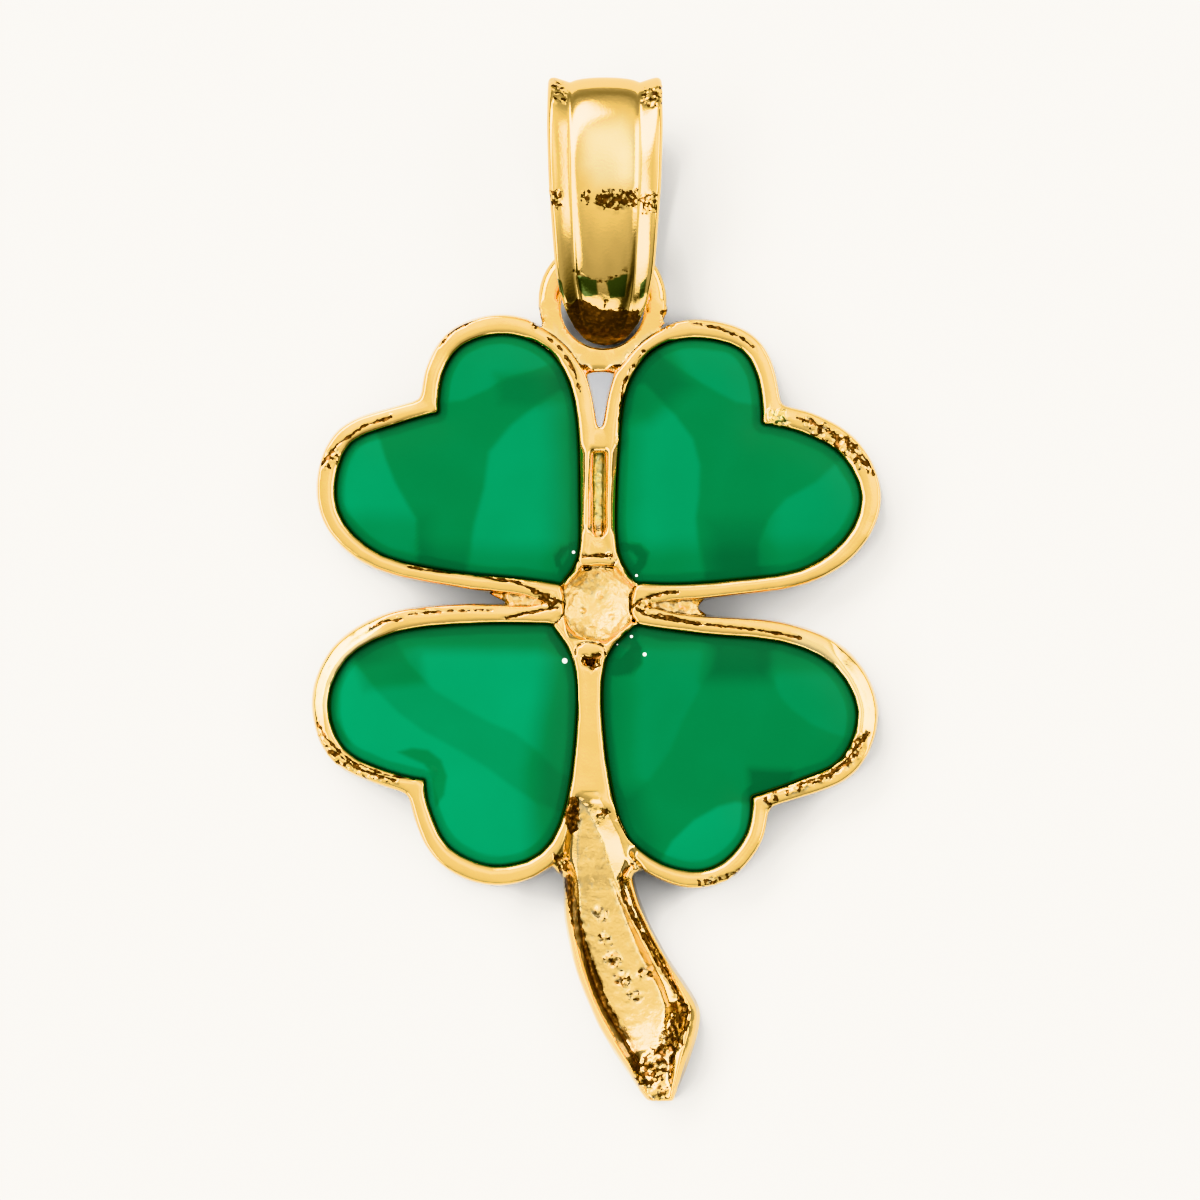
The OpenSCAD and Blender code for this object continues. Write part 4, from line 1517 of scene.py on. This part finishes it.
# The enamel panes, with painted bands: lighter ones are painted reflections, darker ones painted shade and dark
# reflections.
PANES = (
    EnamelPane(
        "leaf_upper_left",
        painted_bands=(
            painted_band(0.45, 2.5, (430, 405), (464, 400), (488, 389), (507, 378), (530, 372), (556, 362), (566, 300),
                (420, 300)),
            painted_band(0.66, 2.5, (372, 400), (378, 434), (386, 460), (395, 482), (409, 507), (417, 519), (419, 600),
                (290, 600), (290, 400)),
            painted_band(-0.45, 14, (300, 515), (430, 515), (430, 600), (300, 600)),
            painted_band(0.66, 3.5, (578, 384), (560, 391), (535, 406), (511, 425), (489, 452), (484, 488), (474, 525),
                (466, 575), (600, 600), (600, 380)),
            painted_band(-0.80, 24, (558, 380), (600, 380), (600, 600), (558, 600)),
            painted_band(-0.45, 8, (495, 374), (560, 372), (575, 395), (540, 408), (500, 404)),
            painted_band(-0.50, 14, (420, 546), (600, 550), (600, 600), (420, 600)),
            painted_band(-1.00, 2.0, (576, 543), (561, 547), (554, 556), (556, 566), (562, 569), (560, 560), (567, 550)),
        ),
    ),
    EnamelPane(
        "leaf_upper_right",
        painted_bands=(
            painted_band(0.45, 2.5, (656, 352), (688, 375), (719, 393), (736, 402), (775, 408), (800, 330), (650, 300)),
            painted_band(0.58, 3.0, (645, 384), (675, 415), (693, 439), (700, 465), (699, 495), (696, 517), (698, 538),
                (706, 579), (600, 600), (590, 384)),
            painted_band(-0.50, 18, (600, 380), (636, 380), (636, 600), (600, 600)),
            painted_band(-0.75, 14, (610, 340), (668, 350), (690, 385), (650, 420), (610, 420)),
            painted_band(0.48, 2.5, (845, 455), (816, 482), (786, 499), (768, 519), (759, 543), (758, 590), (900, 600),
                (900, 430)),
            painted_band(-0.50, 16, (610, 548), (900, 540), (900, 600), (610, 600)),
            painted_band(-0.50, 16, (708, 520), (768, 520), (764, 590), (712, 590)),
            painted_band(-1.00, 2.0, (612, 547), (624, 543), (640, 544), (649, 553), (646, 565), (636, 577), (634, 570),
                (638, 558), (630, 550), (618, 552)),
        ),
        lenses=(Bead((628, 562), 9.0, 0.02),),
    ),
    EnamelPane(
        "leaf_lower_left",
        painted_bands=(
            painted_band(0.46, 2.0, (290, 600), (600, 600), (600, 900), (290, 900)),
            painted_band(0.38, 3.0, (345, 640), (357, 664), (376, 690), (399, 713), (425, 732), (460, 751), (486, 767),
                (512, 786), (537, 803), (563, 812), (590, 900), (290, 900), (290, 640)),
            painted_band(0.36, 3.0, (389, 630), (409, 664), (434, 690), (460, 706), (489, 722), (515, 733), (537, 751),
                (557, 770), (590, 790), (600, 620)),
            painted_band(-1.10, 12, (360, 600), (600, 600), (600, 650), (420, 648), (360, 662)),
            painted_band(-1.00, 20, (560, 620), (620, 620), (620, 860), (536, 860), (532, 770)),
            painted_band(-0.55, 8, (350, 655), (420, 655), (425, 682), (365, 690)),
            painted_band(-0.80, 2.5, (398, 752), (412, 748), (428, 750), (441, 760), (447, 776), (444, 795), (436, 806),
                (434, 790), (433, 776), (424, 764), (410, 758)),
            painted_band(-0.50, 3.0, (322, 690), (332, 668), (345, 655), (338, 690), (336, 718), (350, 745), (330, 730)),
            painted_band(-1.00, 2.0, (555, 628), (560, 632), (560, 646), (567, 660), (558, 652)),
        ),
        lenses=(Bead((432, 772), 7.0, 0.02),),
    ),
    EnamelPane(
        "leaf_lower_right",
        painted_bands=(
            painted_band(0.20, 3.0, (723, 630), (711, 669), (700, 688), (682, 722), (670, 751), (649, 780), (631, 796),
                (606, 806), (580, 800), (590, 620)),
            painted_band(-0.60, 20, (590, 620), (628, 620), (628, 820), (590, 820)),
            painted_band(0.26, 2.5, (770, 630), (771, 675), (780, 696), (792, 710), (811, 724), (831, 733), (870, 745),
                (900, 700), (850, 620)),
            painted_band(-0.60, 14, (766, 640), (860, 640), (860, 668), (766, 668)),
            painted_band(0.76, 2.5, (655, 870), (672, 841), (694, 820), (719, 806), (735, 802), (760, 804), (760, 890),
                (680, 900)),
            painted_band(-0.85, 12, (712, 625), (772, 625), (768, 680), (705, 680)),
            painted_band(-0.70, 10, (600, 620), (720, 620), (715, 646), (600, 643)),
            painted_band(-0.60, 14, (590, 792), (640, 787), (655, 840), (640, 870), (600, 850)),
            painted_band(-1.40, 8, (750, 770), (790, 772), (775, 800), (752, 806)),
            painted_band(-1.00, 2.0, (605, 662), (618, 660), (630, 648), (634, 638), (642, 648), (642, 664), (632, 674),
                (616, 676), (606, 670)),
        ),
        lenses=(Bead((618, 645), 13.0, 0.05),),
    ),
)

# Painted glints in the enamel: x, y and radius in photograph pixels.
PAINTED_GLINTS = (
    (573.6, 552.2, 1.5), (636.5, 575.5, 1.3), (564.8, 660.8, 2.5), (631.4, 636.4, 1.4), (644.6, 654.4, 1.8),
    (617.3, 644.6, 0.8),
)

STUDIO = Studio(
    panels=(
        SoftPanel(47, 194, 24, 10, 8.0),
        SoftPanel(42, 130, 24, 11, 13.0),
        SoftPanel(47, 6, 22, 9, 7.0),
        SoftPanel(18, 85, 16, 12, 1.3, 0.9),
        SoftPanel(17, 12, 9, 9, 1.3, 0.7),
        SoftPanel(50, 90, 45, 20, 0.25, 0.6),
        SoftPanel(62, -100, 20, 6, 4.0),
        SoftPanel(45, -90, 50, 22, -0.3, 0.6),
    ),
)

DISH = Region(((566, 571), (600, 563), (630, 573), (634, 603), (626, 634), (600, 642), (570, 636), (562, 604)),
    soft=2.0)

FRAME = CastFrame(
    leaves=tuple(pane.node for pane in PANES),
    plate=Region(((528, 345), (540, 300), (664, 300), (672, 345), (628, 366), (575, 366)), soft=3.0),
    calm=(
        DISH,
        Region(((580, 450), (616, 450), (614, 530), (582, 530)), soft=4.0),
        Region(((574, 815), (625, 815), (640, 870), (720, 1000), (700, 1110), (600, 1110), (550, 900), (560, 860)),
            soft=6.0),
    ),
    inner=(
        DISH,
        Region(((486, 580), (560, 594), (560, 612), (486, 626)), soft=2.0),
        Region(((634, 594), (714, 580), (714, 628), (634, 614)), soft=2.0),
        Region(((589, 444), (607, 444), (607, 552), (589, 552)), soft=2.0),
        Region(((570, 800), (620, 800), (640, 870), (700, 1000), (680, 1090), (630, 1090), (566, 940), (560, 860)),
            soft=2.0),
    ),
    recesses=(
        Region(((505, 584), (545, 591), (552, 603), (545, 611), (505, 622)), soft=3.0),
        Region(((644, 604), (652, 594), (706, 584), (706, 624), (652, 614)), soft=3.0),
    ),
    channel=Region(((580, 803), (586, 807), (604, 843), (621, 897), (654, 962), (668, 1005), (654, 1048),
        (636, 1048), (600, 990), (580, 933), (577, 868))),
    ramps=(
        Region(((576, 796), (606, 796), (622, 815), (634, 846), (628, 866), (618, 880), (574, 880), (568, 858),
            (572, 820)), soft=6.0),
        Region(((610, 876), (628, 880), (636, 906), (650, 934), (665, 962), (682, 1000), (668, 1005), (654, 962),
            (621, 897)), soft=3.0),
    ),
    slopes=(
        (Region(((300, 610), (380, 610), (372, 660), (345, 700), (352, 728), (300, 735)), soft=12.0), 0.5),
        (Region(((838, 640), (900, 640), (900, 742), (845, 742)), soft=12.0), 0.5),
    ),
    wear_and_painted_light=RIM_WEAR_AND_PAINTED_LIGHT + CENTRE_WEAR_AND_PAINTED_SHADE + STEM_WEAR_AND_PAINTED_SHADE + PLATE_WEARS,
    beads=FRAME_BEADS,
)

BAIL = Bail(wear_and_painted_light=BAIL_WEAR_AND_PAINTED_LIGHT)

# The bail's gold, whose green marks are painted reflections of the enamel and stay mostly metal.
BAIL_GOLD = CastGold(
    "bail_gold", reddish_painted_dark_and_brown=(0.13, 0.055, 0.014), film=(0.055, 0.075, 0.02), film_metal=0.9, broken_mm=0.08
)


def main() -> None:
    """Build every piece and the studio."""
    logging.basicConfig(level=logging.INFO, format="%(message)s")
    FRAME.build(CastGold().material())
    BAIL.build(BAIL_GOLD.material())
    enamel = GreenEnamel(painted_glints=PAINTED_GLINTS).material()
    for pane in PANES:
        pane.build(enamel)
    STUDIO.build()


if __name__ == "__main__":
    main()
